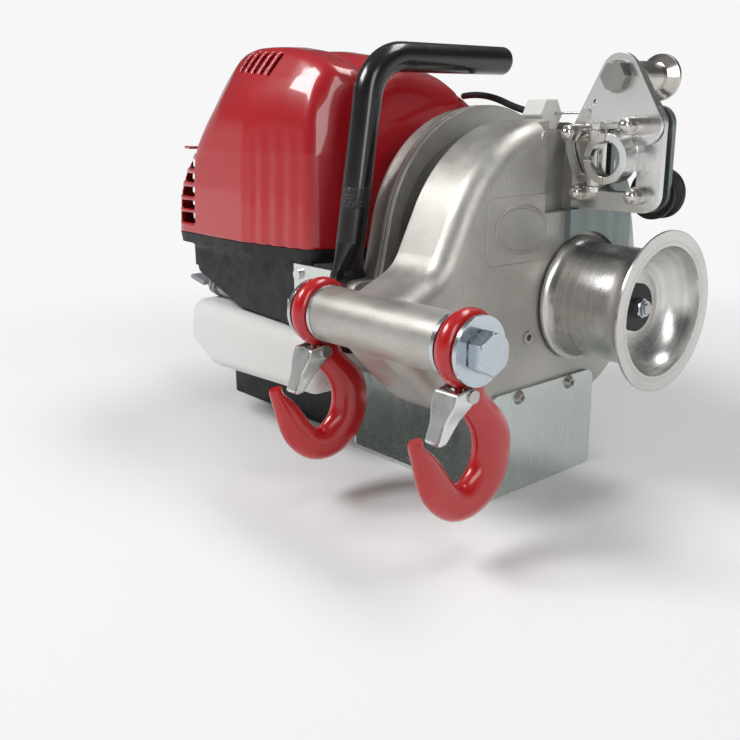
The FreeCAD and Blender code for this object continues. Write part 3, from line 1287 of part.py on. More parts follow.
def make_rope_gate():
    """Left half of the rope ring: two fingers that swing on the upright pin."""
    centre = V(float(D.ring_x), 0, float(D.gate_z))
    ring_full = rod("Y", centre.x, D.ring_front, centre.z, D.ring_inner + D.ring_wall,
                    D.ring_back - D.ring_front - 2)
    ring_full = ring_full.cut(rod("Y", centre.x, D.ring_front - 1, centre.z, D.ring_inner, 60))
    left = ring_full.common(rod("Z", D.gate_x, D.gate_y, 200, D.gate_reach, 100))
    left = left.cut(block(60, 140, 0, 60, centre.z - 1.2, centre.z + 1.2))
    fingers = []
    for low, high in ((D.gate_low, centre.z - 1.2), (centre.z + 1.2, D.gate_high)):
        fingers.append(rod("Z", D.gate_x, D.gate_y, low, 5.5, float(high) - float(low)))
    core = rod("Z", D.gate_x, D.gate_y, centre.z - 1.5, 3.6, 3)
    gate = left.fuse(fingers + [core])
    gate = gate.cut(rod("Y", centre.x, 0, centre.z, D.ring_inner, 60))
    gate = gate.cut(rod("Z", D.gate_x, D.gate_y, 200, D.gate_pin + D.shaft_play, 100))
    return solid("rope_gate", gate.removeSplitter())


make_rope_gate()


# Throttle cable: it comes out of the engine, ends in a nylon block and pulls on the lever

block_z = D.notch_z + D.gap + D.block_flats / 2
block_shape = hexagon("X", D.block_x, D.block_y, block_z, D.block_flats, D.block_length, False)
block_shape.rotate(point(D.block_x, D.block_y, block_z), V(1, 0, 0), 30)
block_shape = block_shape.cut(rod("X", D.block_x - 1, D.wire_y, D.wire_z,
                                  D.wire_radius + 0.3, D.block_length + 2))
block_shape = block_shape.cut(rod("X", D.block_x - 1, D.wire_y, D.wire_z,
                                  D.cable_radius + D.shaft_play, 9))
solid("cable_block", block_shape)
cable_radii = [60.0, 45.0]
cable_end = D.block_x.value + 7
cable_points = [point(D.cable_start_x, D.cable_start_y, D.cable_start_z),
                V(-34, 46, 291.5), V(28, float(D.wire_y), float(D.wire_z)),
                V(cable_end, float(D.wire_y), float(D.wire_z))]
cable_path = rounded_path(cable_points, cable_radii)
cable_shape = tube_along(cable_path, D.cable_radius)
cable_shape = cable_shape.cut(tube_along(cable_path, D.wire_radius + 0.3))
solid("throttle_cable", cable_shape)
print("bend radii of the throttle cable:", cable_radii)
wire_start = cable_end - 6
wire_shape = rod("X", wire_start, D.wire_y, D.wire_z, D.wire_radius,
                 D.wire_pin_x - D.wire_pin - 1.2 - 0.2 - wire_start)
wire_eye = Part.makeTorus(float(D.wire_pin) + 1.2 + 0.2, float(D.wire_radius) + 0.15,
                          point(D.wire_pin_x, D.wire_y, D.wire_z), V(0, 1, 0))
solid("cable_wire", wire_shape.fuse(wire_eye))


# Engine: a small four-stroke with an upright cylinder, hung on the neck of the rear cover

def lofted(levels):
    """Solid through plan outlines, each given as a height and its circles."""
    wires = []
    for z, circles in levels:
        wire = belt_wire(circles)
        wire.translate(V(0, 0, float(z)))
        wires.append(wire)
    return Part.makeLoft(wires, True, True)


PLAN_MIDDLE = (-170, -8)
COVER_PLAN = [(-259, -88, 22), (-160, -92, 20), (-95, -82, 20), (-79, -58, 16), (-79, 80, 16),
              (-259, 74, 22)]


def cover_plan(inset):
    """Plan outline of the cover, drawn in towards its middle."""
    share = 1 - float(inset) / 105
    x, y = PLAN_MIDDLE
    return [(x + (u - x) * share, y + (v - y) * share, r * share) for u, v, r in COVER_PLAN]


def corner_plan(x0, x1, y0, y1, r):
    return [(x0 + r, y0 + r, r), (x1 - r, y0 + r, r), (x1 - r, y1 - r, r), (x0 + r, y1 - r, r)]


COVER_LEVELS = [(172, 0), (246, 4), (266, 9), (281, 19), (291, 34)]
SILENCER_HUMP = [(256, -207, -98, -104, -28, 24), (285, -203, -102, -100, -32, 22),
                 (305, -197, -108, -93, -38, 20), (319, -185, -120, -83, -46, 16),
                 (326, -170, -135, -75, -54, 9)]
HEAD_HUMP = [(256, -224, -64, -36, 90, 28), (298, -214, -66, -30, 84, 26),
             (320, -202, -98, -22, 72, 22), (330, -188, -128, -10, 54, 14)]


def make_top_cover():
    wall = D.cover_wall.value
    body = lofted([(z, cover_plan(inset)) for z, inset in COVER_LEVELS])
    inner = lofted([(z - wall, cover_plan(inset + wall)) for z, inset in COVER_LEVELS])
    for hump in (SILENCER_HUMP, HEAD_HUMP):
        body = body.fuse(lofted([(z, corner_plan(*rest)) for z, *rest in hump]))
        hollow = []
        for z, x0, x1, y0, y1, r in hump:
            frame = corner_plan(x0 + wall, x1 - wall, y0 + wall, y1 - wall, r - wall)
            hollow.append((z - wall, frame))
        inner = inner.fuse(lofted(hollow))
    cover = body.cut(inner)
    for low, high in ((181, 190), (193.5, 201), (205, 213), (217.5, 225), (229, 237),
                      (241.5, 248.5), (253, 259.5)):
        cover = cover.cut(block(-272, -239, -130, -92, low, high))
        cover = cover.cut(block(-300, -262, -88, -62, low, high))
    for index in range(5):
        slot = block(-2.2, 2.2, -120, -70, -8, 8)
        slot.rotate(V(), V(0, 1, 0), 22)
        slot.translate(V(-184 + index * 10.5, 0, 308 - index * 1.0))
        cover = cover.cut(slot)
    cover = cover.cut(block(-176, -160, -10, -6, 310, 340))
    openings = [rod("X", -80, D.bowl_y, D.bowl_z, D.neck_outer + 4, 30),
                rod("X", -290, D.bowl_y, D.bowl_z, D.crank_radius + 3, 20),
                rod("Y", D.cylinder_x, 80, D.carb_z, 13, 30),
                Part.makeCylinder(4.5, 30, cable_points[0], cable_points[1] - cable_points[0]),
                rod("Y", D.switch_x, 80, D.switch_z, 7 + D.shaft_play, 30)]
    for opening in openings:
        cover = cover.cut(opening)
    fins = []
    for z in (187, 245):
        corners = [V(-274, -90, z), V(-292, -86, z + 1), V(-274, -74, z), V(-274, -90, z)]
        fins.append(Part.Face(Part.makePolygon(corners)).extrude(V(0, 0, 2.5)))
    return solid("top_cover", cover.fuse(fins))


make_top_cover()


def make_shroud_tray():
    """Black tray under the cover with the guard in front of the crankcase."""
    seat_z = D.cover_base_z - D.tray_thick
    band = lofted([(seat_z, cover_plan(1)), (D.cover_base_z - 0.05, cover_plan(0))])
    step = lofted([(150, cover_plan(16)), (seat_z, cover_plan(6))])
    guard_run = [(-262, 163), (-262, 150), (-256, 135), (-189, 111), (-104, 107), (-82, 112),
                 (-82, 163)]
    corners = [V(x, -98, z) for x, z in guard_run]
    guard = Part.Face(Part.makePolygon(corners + corners[:1])).extrude(V(0, 3, 0))
    side = block(-262, -259, -98, -40, 140, 163)
    tray = band.fuse([step, guard, side])
    tray = tray.cut(block(-262 + 3, -50, -42, 92, 120, 180))
    tray = tray.cut(block(-290, -250, D.bowl_y - 14, D.bowl_y + 14, 120, 180))
    tray = tray.cut(block(-259, -50, -95, -42, 120, 160))
    return solid("shroud_tray", tray.removeSplitter())


make_shroud_tray()


def make_engine_block():
    """Crankcase, finned cylinder, the flange to the winch and the oil filler neck."""
    x0, x1 = D.case_left, D.engine_right
    case = belt_solid(x0, x1, [(0, D.block_base_z + 24, 26), (58, D.block_base_z + 24, 26),
                               (D.bowl_y, 150, 54)])
    cylinder = rod("Z", D.cylinder_x, D.bowl_y, 190, 26, 98)
    fins = []
    for index in range(9):
        z = 212 + index * 9
        fins.append(lofted([(z, corner_plan(-190, -120, -8, 62, 8)),
                            (z + 3, corner_plan(-190, -120, -8, 62, 8))]))
    port = block(D.cylinder_x - 16, D.cylinder_x + 16, -8, 10, 222, 248)
    inlet = block(D.cylinder_x - 14, D.cylinder_x + 14, 44, 62, D.carb_z - 13, D.carb_z + 13)
    flange = rod("X", x1, D.bowl_y, D.bowl_z, D.neck_outer, 4)
    neck_path = rounded_path([V(-240, -84, 120), V(-225, -84, 117), V(-206, -10, 124)], [12.0])
    neck = tube_along(neck_path, 7)
    shape = case.fuse([cylinder, port, inlet, flange, neck] + fins)
    neck_way = V(15, 0, -3).normalize()
    cuts = [rod("X", x0 - 1, D.bowl_y, D.bowl_z, D.crank_radius + D.shaft_play, 300),
            rod("X", x1 - 12, D.bowl_y, D.bowl_z, D.neck_bore, 30),
            block(-half_base - D.screw_room, -50, -40, 100, 40, D.base_height + 11),
            Part.makeCylinder(4.5, 16, V(-240, -84, 120) - neck_way, neck_way),
            rod("Y", D.cylinder_x, -9, D.port_z, 7, 22),
            rod("Y", D.cylinder_x, 50, D.carb_z, 8, 20)]
    plug_seat = Part.makeCylinder(5 + D.shaft_play.value, 16, point(D.cylinder_x, 2, 292),
                                  V(0, 0.6, -0.8))
    for cut in cuts + [plug_seat]:
        shape = shape.cut(cut)
    return solid("engine_block", shape)


make_engine_block()


def rounded_box(x0, x1, y0, y1, z0, z1, radius):
    shape = block(x0, x1, y0, y1, z0, z1)
    return shape.makeFillet(float(radius), shape.Edges)


def make_muffler():
    box = rounded_box(-246, -142, -94, -45, 184, 250, 9)
    pipe = rod("Y", D.cylinder_x, -50, D.port_z, 9, 42 - D.gap)
    flange = block(D.cylinder_x - 14, D.cylinder_x + 14, -12, -8 - D.gap, D.port_z - 11,
                   D.port_z + 11)
    seam = block(-247, -141, -71, -68, 183, 251)
    seam = seam.makeFillet(1.4, [edge for edge in seam.Edges if edge.Length < 10])
    tail = rod("X", -252, -84, 200, 6, 12)
    return solid("muffler", box.fuse([pipe, flange, seam, tail]))


make_muffler()

front_tank = flat_shape(-108, 46, [(-224, 64, 15), (-82, 68, 14), (-82, 90, 14), (-246, 94, 16),
                                   (-251, 78, 15)])
front_edges = [edge for edge in front_tank.Edges if abs(edge.CenterOfMass.y + 108) < 0.1]
front_tank = front_tank.makeFillet(11, front_edges)
rear_tank = flat_shape(-64, 32, [(-222, 66, 14), (-106, 66, 14), (-106, 90, 14), (-248, 92, 14),
                                 (-250, 78, 12)])
tank_neck = rod("X", -272, -50, 84, 11, 20)
tank_shape = front_tank.fuse([rear_tank, tank_neck])
room_front = flat_shape(-105, 40, [(-224, 64, 12), (-82, 68, 11), (-82, 90, 11), (-246, 94, 13),
                                   (-251, 78, 12)])
room_front = room_front.makeFillet(8, [edge for edge in room_front.Edges
                                       if abs(edge.CenterOfMass.y + 105) < 0.1])
room_rear = flat_shape(-66, 31, [(-222, 66, 11), (-106, 66, 11), (-106, 90, 11), (-248, 92, 11),
                                 (-250, 78, 9)])
tank_shape = tank_shape.cut(room_front.fuse(room_rear))
solid("fuel_tank", tank_shape.cut(rod("X", -280, -50, 84, 8, 30)))

cap_rim = rod("X", -288, -50, 84, 16, 16).cut(rod("X", -283, -50, 84, 11 + D.gap, 14))
grips = [rod("X", -290, -50 + 17 * math.cos(math.pi * step / 6),
             84 + 17 * math.sin(math.pi * step / 6), 1.8, 20) for step in range(12)]
cap_rim = cap_rim.cut(Part.makeCompound(grips))
stopper = rod("X", -284, -50, 84, 8 - D.shaft_play, 16)
solid("tank_cap", cap_rim.fuse(stopper))


def make_engine_foot():
    """Black foot under the engine: open below, with two rails that carry the crankcase."""
    outer = block(D.foot_left, -92, -46, 90, 0, 48)
    upright = [edge for edge in outer.Edges if abs(edge.CenterOfMass.z - 24) < 0.1]
    outer = outer.makeFillet(12, upright)
    inner = block(D.foot_left + 4, -96, -42, 86, -1, 44)
    foot = outer.cut(inner)
    wedge = Part.makePolygon([V(-300, 0, 20), V(-300, 0, 60), V(-230, 0, 60), V(-300, 0, 20)])
    slope = Part.Face(wedge).extrude(V(0, 200, 0))
    slope.translate(V(0, -60, 0))
    foot = foot.cut(slope)
    lid = Part.Face(Part.makePolygon([V(-291, -46, 21.2), V(-291, -46, 27), V(-251, -46, 48),
                                      V(-244, -46, 48), V(-291, -46, 21.2)]))
    lid = lid.extrude(V(0, 136, 0))
    rails = [block(-216, -110, y, y + 10, 47, D.block_base_z - 2) for y in (2, 46)]
    ledge = block(-230, -100, -60, -40, 43, 48)
    return solid("engine_foot", foot.fuse([lid, ledge] + rails).removeSplitter())


make_engine_foot()


def make_dipstick():
    """Oil cap with its wing and the dipping rod, along the filler neck."""
    way = V(-15, 0, 3).normalize()
    mouth = V(-240, -84, 120)
    body = Part.makeCylinder(9.5, 9, mouth + way * 0.3, way)
    groove = Part.makeCylinder(12, 2, mouth + way * 3.5, way).cut(
        Part.makeCylinder(8.2, 2, mouth + way * 3.5, way))
    body = body.cut(groove)
    shoulder = Part.makeCone(9.5, 5, 8, mouth + way * 9.2, way)
    wing = rounded_box(-2.2, 2.2, -13, 13, 0, 24, 2)
    wing.Placement = FreeCAD.Placement(mouth + way * 13, FreeCAD.Rotation(V(0, 0, 1), way))
    rod_part = Part.makeCylinder(4.4, 12, mouth + way * 1.0, way * -1)
    return solid("dipstick", body.fuse([shoulder, wing, rod_part]))


make_dipstick()


def make_engine_bracket():
    """Zinc plate from the guard to the foot of the carrying handle."""
    right = D.handle_x - D.handle_tube - 0.5
    plate_shape = block(-97, right, -104, -101, 132, 161)
    lower = block(-97, -70, -104, -101, 114, 134)
    standoffs = [rod("Y", -90, -101.5, z, 6, 3.45) for z in (122, 153)]
    shape = plate_shape.fuse([lower] + standoffs)
    heads = [rod("Y", -90, -107, z, 4.2, 3.5) for z in (122, 153)]
    return solid("engine_bracket", shape.fuse(heads).removeSplitter())


make_engine_bracket()


def make_recoil():
    x = D.starter_x.value
    cup = rod("X", x, D.bowl_y, D.bowl_z, D.starter_radius, 16.7)
    rim_edges = [edge for edge in cup.Edges if abs(edge.CenterOfMass.x - x) < 0.1]
    cup = cup.makeFillet(5, rim_edges)
    cup = cup.cut(rod("X", x + 3, D.bowl_y, D.bowl_z, D.starter_radius - 4, 20))
    for index in range(10):
        turn = 2 * math.pi * index / 10
        cup = cup.cut(rod("X", x - 1, D.bowl_y + 38 * math.cos(turn), D.bowl_z + 38 * math.sin(turn),
                          6, 6))
    rope_boss = rod("Y", x + 9, D.bowl_y + D.starter_radius - 6, D.bowl_z, 7, 12)
    rope_boss = rope_boss.cut(rod("Y", x + 9, D.bowl_y + D.starter_radius - 12, D.bowl_z, 2.5, 30))
    feet = [block(x + 9, x + 16.7, D.bowl_y - 73, D.bowl_y - 55, 160, 171)]
    hub = rod("X", x + 2, D.bowl_y, D.bowl_z, 12, 5)
    return solid("recoil_housing", cup.fuse([rope_boss, hub] + feet))


make_recoil()

grip_x, grip_y = D.starter_x + 9, D.bowl_y + D.starter_radius + 6 + D.gap
grip_bar = rounded_box(grip_x - 8, grip_x + 8, grip_y + 5, grip_y + 19, D.bowl_z - 28,
                       D.bowl_z + 28, 5)
grip_neck = rod("Y", grip_x, grip_y, D.bowl_z, 6, 7)
solid("starter_grip", grip_bar.fuse(grip_neck))

cleaner_box = rounded_box(D.cylinder_x - 40, D.cylinder_x + 40, 97, 150, 184, 258, 9)
cleaner_seam = block(D.cylinder_x - 41, D.cylinder_x + 41, 119, 122, 183, 259)
cleaner_seam = cleaner_seam.makeFillet(1.4, [edge for edge in cleaner_seam.Edges
                                             if edge.Length < 10])
solid("air_cleaner", cleaner_box.fuse(cleaner_seam))


def make_carburettor():
    x, z = D.cylinder_x, D.carb_z
    body = rounded_box(x - 17, x + 17, 66, 86, z - 17, z + 17, 3)
    inlet = rod("Y", x, 62.3, z, 11, 8)
    outlet = rod("Y", x, 84, z, 12, 13 - D.seat)
    bowl = rod("Z", x, 76, z - 27, 9.5, 14)
    shape = body.fuse([inlet, outlet, bowl])
    return solid("carburettor", shape.cut(rod("Y", x, 60, z, 7, 40)))


make_carburettor()
arm_z = D.carb_z + 17 + D.gap
arm_plate = block(D.cylinder_x, D.cylinder_x + 15, 73, 79, arm_z, arm_z + 2.5)
arm_hub = rod("Z", D.cylinder_x, 76, arm_z, 5, 5)
arm_shape = arm_plate.fuse([arm_hub, rod("Z", D.cylinder_x + 15, 76, arm_z, 3, 2.5)])
arm_shape.rotate(point(D.cylinder_x, 76, arm_z), V(0, 0, 1), -35)
solid("throttle_arm", arm_shape)
choke_x = D.cylinder_x - 17 - D.gap - 2.5
choke_hub = rod("X", choke_x, 76, D.carb_z, 5, 2.5)
choke_plate = block(choke_x, choke_x + 2.5, 73.5, 78.5, D.carb_z, D.carb_z + 16)
solid("choke_lever", choke_hub.fuse(choke_plate))
switch_body = rod("Y", D.switch_x, 84, D.switch_z, 7, 14)
solid("stop_switch", switch_body.fuse(rod("Y", D.switch_x, 82, D.switch_z, 9, 3)))


def make_spark_plug():
    way = V(0, 0.6, -0.8)
    top = point(D.cylinder_x, 2, 292)
    thread = Part.makeCylinder(5, 12, top + way * 1.0, way)
    collar = Part.makeCylinder(9, 3, top - way * 3.8, way)
    insulator = Part.makeCone(4, 5.5, 12, top - way * 15.6, way)
    neck = Part.makeCylinder(5, 3, top - way * 1.4, way)
    return solid("spark_plug", thread.fuse([collar, insulator, neck]))


make_spark_plug()


# Check every object and write one file for each sub-part

doc.recompute()
for obj in doc.Objects:
    if "Invalid" in obj.State or "Error" in obj.State:
        raise SystemExit("broken object: %s %s" % (obj.Name, obj.State))
os.makedirs("parts", exist_ok=True)
for part in parts:
    if part.Shape.isNull() or not part.Shape.isValid():
        raise SystemExit("bad shape: " + part.Label)
for part in parts:
    part.Shape.exportStep("parts/%s.step" % part.Label)
print("wrote", len(parts), "files")
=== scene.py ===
import math

import bpy
import numpy as np
from mathutils import Matrix, Vector
from mathutils.geometry import convex_hull_2d


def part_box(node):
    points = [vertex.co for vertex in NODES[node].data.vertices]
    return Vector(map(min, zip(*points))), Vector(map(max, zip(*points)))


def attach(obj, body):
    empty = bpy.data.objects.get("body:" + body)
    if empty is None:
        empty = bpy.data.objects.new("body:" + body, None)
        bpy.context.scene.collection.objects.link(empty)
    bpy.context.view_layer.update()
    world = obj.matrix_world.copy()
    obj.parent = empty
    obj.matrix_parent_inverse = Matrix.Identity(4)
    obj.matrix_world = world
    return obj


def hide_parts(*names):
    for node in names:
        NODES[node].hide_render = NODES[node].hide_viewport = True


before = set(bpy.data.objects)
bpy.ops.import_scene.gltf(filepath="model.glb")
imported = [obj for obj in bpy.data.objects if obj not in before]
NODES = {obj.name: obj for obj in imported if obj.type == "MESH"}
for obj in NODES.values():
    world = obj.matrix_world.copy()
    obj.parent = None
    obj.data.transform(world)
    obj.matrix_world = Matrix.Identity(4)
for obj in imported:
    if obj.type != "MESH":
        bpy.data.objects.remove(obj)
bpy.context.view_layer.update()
MM = 0.001


# Camera, at the photograph's viewing point

VIEW_ANGLES = (49.4, 15.9, -0.5)     # turn, tilt and roll, in degrees
VIEW_PLACE = (0.48821, -0.52617, 0.27651)
VIEW_LENS = 44.03


def make_camera():
    data = bpy.data.cameras.new("camera")
    data.sensor_width = 36
    data.lens = VIEW_LENS
    data.clip_start = 0.01
    camera = bpy.data.objects.new("camera", data)
    bpy.context.scene.collection.objects.link(camera)
    turn, tilt, roll = (math.radians(angle) for angle in VIEW_ANGLES)
    back = Vector((math.sin(turn) * math.cos(tilt), -math.cos(turn) * math.cos(tilt),
                   math.sin(tilt)))
    right = (-back).cross(Vector((0, 0, 1))).normalized()
    up = right.cross(-back)
    side = right * math.cos(roll) + up * math.sin(roll)
    top = up * math.cos(roll) - right * math.sin(roll)
    camera.matrix_world = Matrix.Translation(VIEW_PLACE) @ Matrix(
        (side, top, back)).transposed().to_4x4()
    bpy.context.scene.camera = camera


make_camera()


# Studio

PALE = (0.93, 0.93, 0.93, 1)     # what the camera sees of the surroundings
FLOOR_FADE = (0.30, 0.95)        # where the floor gives way to them, from the origin


def make_lamp(name, at, aim, size, power, tint=(1, 1, 1)):
    data = bpy.data.lights.new(name, "AREA")
    data.shape = "RECTANGLE"
    data.size, data.size_y = size
    data.energy = power
    data.color = tint
    lamp = bpy.data.objects.new(name, data)
    bpy.context.scene.collection.objects.link(lamp)
    lamp.location = at
    lamp.rotation_euler = (Vector(aim) - Vector(at)).to_track_quat("-Z", "Y").to_euler()


def seen_directly(tree):
    """1 for camera, glossy and transmission rays, 0 for the light that falls on things."""
    path = tree.nodes.new("ShaderNodeLightPath")
    total = path.outputs["Is Camera Ray"]
    for kind in ("Is Glossy Ray", "Is Transmission Ray"):
        most = tree.nodes.new("ShaderNodeMath")
        most.operation = "MAXIMUM"
        tree.links.new(total, most.inputs[0])
        tree.links.new(path.outputs[kind], most.inputs[1])
        total = most.outputs[0]
    return total


def make_world():
    world = bpy.data.worlds.new("studio")
    bpy.context.scene.world = world
    world.use_nodes = True
    tree = world.node_tree
    sky = tree.nodes["Background"]
    place = tree.nodes.new("ShaderNodeTexCoord")
    split = tree.nodes.new("ShaderNodeSeparateXYZ")
    ramp = tree.nodes.new("ShaderNodeValToRGB")
    tree.links.new(place.outputs["Generated"], split.inputs[0])
    tree.links.new(split.outputs["Z"], ramp.inputs[0])
    tree.links.new(ramp.outputs[0], sky.inputs[0])
    stops = ramp.color_ramp.elements
    stops[0].position, stops[0].color = 0.0, (0.55, 0.55, 0.55, 1)
    stops[1].position, stops[1].color = 1.0, (0.26, 0.26, 0.27, 1)
    for spot, level in ((0.14, 0.50), (0.26, 0.12), (0.6, 0.10)):
        stop = stops.new(spot)
        stop.color = (level, level, level, 1)
    pale = tree.nodes.new("ShaderNodeBackground")
    pale.inputs["Color"].default_value = PALE
    both = tree.nodes.new("ShaderNodeMixShader")
    camera = tree.nodes.new("ShaderNodeLightPath").outputs["Is Camera Ray"]
    tree.links.new(camera, both.inputs[0])
    tree.links.new(sky.outputs[0], both.inputs[1])
    tree.links.new(pale.outputs[0], both.inputs[2])
    tree.links.new(both.outputs[0], tree.nodes["World Output"].inputs["Surface"])


def make_floor():
    bpy.ops.mesh.primitive_plane_add(size=16, location=(0, 0, -0.0004))
    floor = bpy.context.object
    floor.name = "floor"
    paper = bpy.data.materials.new("floor_paper")
    paper.use_nodes = True
    tree = paper.node_tree
    shader = tree.nodes["Principled BSDF"]
    shader.inputs["Base Color"].default_value = (0.88, 0.88, 0.88, 1)
    shader.inputs["Roughness"].default_value = 0.9
    shader.inputs["Specular IOR Level"].default_value = 0.1
    place = tree.nodes.new("ShaderNodeTexCoord")
    reach = tree.nodes.new("ShaderNodeVectorMath")
    reach.operation = "LENGTH"
    tree.links.new(place.outputs["Object"], reach.inputs[0])
    far = tree.nodes.new("ShaderNodeMapRange")
    far.interpolation_type = "SMOOTHSTEP"
    far.inputs["From Min"].default_value, far.inputs["From Max"].default_value = FLOOR_FADE
    tree.links.new(reach.outputs["Value"], far.inputs["Value"])
    share = tree.nodes.new("ShaderNodeMath")
    share.operation = "MULTIPLY"
    tree.links.new(far.outputs[0], share.inputs[0])
    tree.links.new(seen_directly(tree), share.inputs[1])
    glow = tree.nodes.new("ShaderNodeEmission")
    glow.inputs["Color"].default_value = PALE
    both = tree.nodes.new("ShaderNodeMixShader")
    tree.links.new(share.outputs[0], both.inputs[0])
    tree.links.new(shader.outputs[0], both.inputs[1])
    tree.links.new(glow.outputs[0], both.inputs[2])
    tree.links.new(both.outputs[0], tree.nodes["Material Output"].inputs["Surface"])
    floor.data.materials.append(paper)


def make_studio():
    bpy.context.scene.view_settings.view_transform = "Standard"
    make_world()
    make_floor()
    make_lamp("key", (-0.75, -1.15, 1.55), (-0.05, 0, 0.12), (0.9, 0.6), 24)
    make_lamp("fill", (1.5, -0.5, 0.9), (0.05, 0, 0.15), (0.5, 1.2), 8)
    make_lamp("top", (0.2, 0.7, 1.8), (0, 0, 0.1), (1.2, 0.5), 13)


make_studio()


# Materials: node networks on the Principled shader

class Finish:
    """A material built up from noise, colour mixes and bumps in row-frame metres."""

    def __init__(self, name, color, rough, metal=0.0, sheen=0.5):
        self.mat = bpy.data.materials.new(name)
        self.mat.use_nodes = True
        self.tree = self.mat.node_tree
        self.shader = self.tree.nodes["Principled BSDF"]
        self.shader.inputs["Metallic"].default_value = metal
        self.shader.inputs["Specular IOR Level"].default_value = sheen
        self.place = self.add("ShaderNodeTexCoord").outputs["Object"]
        self.set("Base Color", color)
        self.set("Roughness", rough)
        self.normal = None

    def add(self, kind, **inputs):
        node = self.tree.nodes.new(kind)
        for name, value in inputs.items():
            self.feed(node.inputs[name.replace("_", " ")], value)
        return node

    def feed(self, socket, value):
        if isinstance(value, bpy.types.NodeSocket):
            self.tree.links.new(value, socket)
        elif isinstance(value, (tuple, list)) and len(value) == 3 and socket.type == "RGBA":
            socket.default_value = (*value, 1)
        else:
            socket.default_value = value

    def set(self, name, value):
        self.feed(self.shader.inputs[name], value)
        return self

    def stretch(self, scale=(1, 1, 1), turn=(0, 0, 0)):
        node = self.add("ShaderNodeMapping", Vector=self.place, Scale=scale, Rotation=turn)
        return node.outputs[0]

    def noise(self, scale, detail=3.0, rough=0.55, at=None):
        node = self.add("ShaderNodeTexNoise", Vector=at or self.place, Scale=scale, Detail=detail,
                        Roughness=rough)
        return node.outputs["Fac"]

    def math(self, kind, a, b=0.0, c=0.0):
        node = self.tree.nodes.new("ShaderNodeMath")
        node.operation = kind
        for socket, value in zip(node.inputs, (a, b, c)):
            self.feed(socket, value)
        return node.outputs[0]

    def span(self, value, low, high, to_low=0.0, to_high=1.0):
        node = self.add("ShaderNodeMapRange")
        for name, number in (("Value", value), ("From Min", low), ("From Max", high),
                             ("To Min", to_low), ("To Max", to_high)):
            self.feed(node.inputs[name], number)
        return node.outputs[0]

    def mix(self, share, first, second):
        node = self.tree.nodes.new("ShaderNodeMix")
        node.data_type = "RGBA"
        self.feed(node.inputs[0], share)
        self.feed(node.inputs[6], first)
        self.feed(node.inputs[7], second)
        return node.outputs[2]

    def bump(self, height, strength, depth=0.001):
        node = self.add("ShaderNodeBump", Strength=strength, Distance=depth, Height=height)
        if self.normal:
            self.tree.links.new(self.normal, node.inputs["Normal"])
        self.normal = node.outputs[0]
        self.tree.links.new(self.normal, self.shader.inputs["Normal"])
        return self

    def soften(self, radius):
        """Round the light on every sharp edge."""
        node = self.add("ShaderNodeBevel", Radius=radius)
        node.samples = 4
        self.normal = node.outputs[0]
        self.tree.links.new(self.normal, self.shader.inputs["Normal"])
        return self

    def edges(self, radius=0.0006, low=0.02, high=0.25):
        """Where the surface turns sharply: 0 on flats, 1 on edges."""
        bevel = self.add("ShaderNodeBevel", Radius=radius)
        bevel.samples = 4
        plain = self.add("ShaderNodeNewGeometry").outputs["Normal"]
        dot = self.tree.nodes.new("ShaderNodeVectorMath")
        dot.operation = "DOT_PRODUCT"
        self.feed(dot.inputs[0], bevel.outputs[0])
        self.feed(dot.inputs[1], plain)
        return self.span(self.math("SUBTRACT", 1.0, dot.outputs["Value"]), low, high)


def cast_metal(name, color, rough=0.42, metal=0.75, grain=0.35):
    made = Finish(name, color, rough, metal)
    made.soften(0.0012)
    cloud = made.noise(14, 4)
    fine = made.noise(900, 2)
    darker = tuple(part * 0.86 for part in color)
    lighter = tuple(min(1, part * 1.10) for part in color)
    base = made.mix(made.span(cloud, 0.35, 0.65), darker, lighter)
    specks = made.span(made.noise(330, 1), 0.62, 0.72, 0, 0.35)
    base = made.mix(specks, base, tuple(part * 0.72 for part in color))
    worn = made.math("MULTIPLY", made.edges(0.001), 0.5)
    made.set("Base Color", made.mix(worn, base, lighter))
    made.set("Roughness", made.span(made.noise(60, 3), 0.3, 0.7, rough - 0.06, rough + 0.08))
    made.bump(made.noise(1400, 2, 0.6), grain, 0.00022)
    made.bump(fine, grain * 0.6, 0.0004)
    made.bump(made.noise(55, 3), 0.12, 0.002)
    return made.mat


def turned_metal(name, color, axis, centre, rough=0.22, depth=0.3):
    """Lathe-turned metal: fine rings about an axis through a point, in millimetres."""
    made = Finish(name, color, rough, 1.0)
    made.soften(0.0006)
    split = made.add("ShaderNodeSeparateXYZ", Vector=made.place)
    along = split.outputs["XYZ".index(axis)]
    flat = [index for index in range(3) if index != "XYZ".index(axis)]
    squares = []
    for index in flat:
        away = made.math("SUBTRACT", split.outputs[index], centre[index] * MM)
        squares.append(made.math("MULTIPLY", away, away))
    radius = made.math("SQRT", made.math("ADD", squares[0], squares[1]))
    rings = made.add("ShaderNodeCombineXYZ", X=along, Y=radius).outputs[0]
    fine = made.noise(1900, 4, 0.7, rings)
    broad = made.noise(260, 3, 0.6, rings)
    dull = tuple(part * 0.80 for part in color)
    smear = made.noise(30, 4, 0.6)
    base = made.mix(made.span(broad, 0.35, 0.65), dull, color)
    made.set("Base Color", made.mix(made.span(smear, 0.45, 0.7, 0, 0.4), base, dull))
    rough_part = made.span(fine, 0.3, 0.7, rough * 0.7, rough * 1.5)
    smudge = made.span(smear, 0.4, 0.75, 0, 0.12)
    made.set("Roughness", made.math("ADD", rough_part, smudge))
    made.bump(fine, depth, 0.00012)
    made.bump(broad, depth * 0.5, 0.0003)
    made.set("Anisotropic", 0.4)
    return made.mat


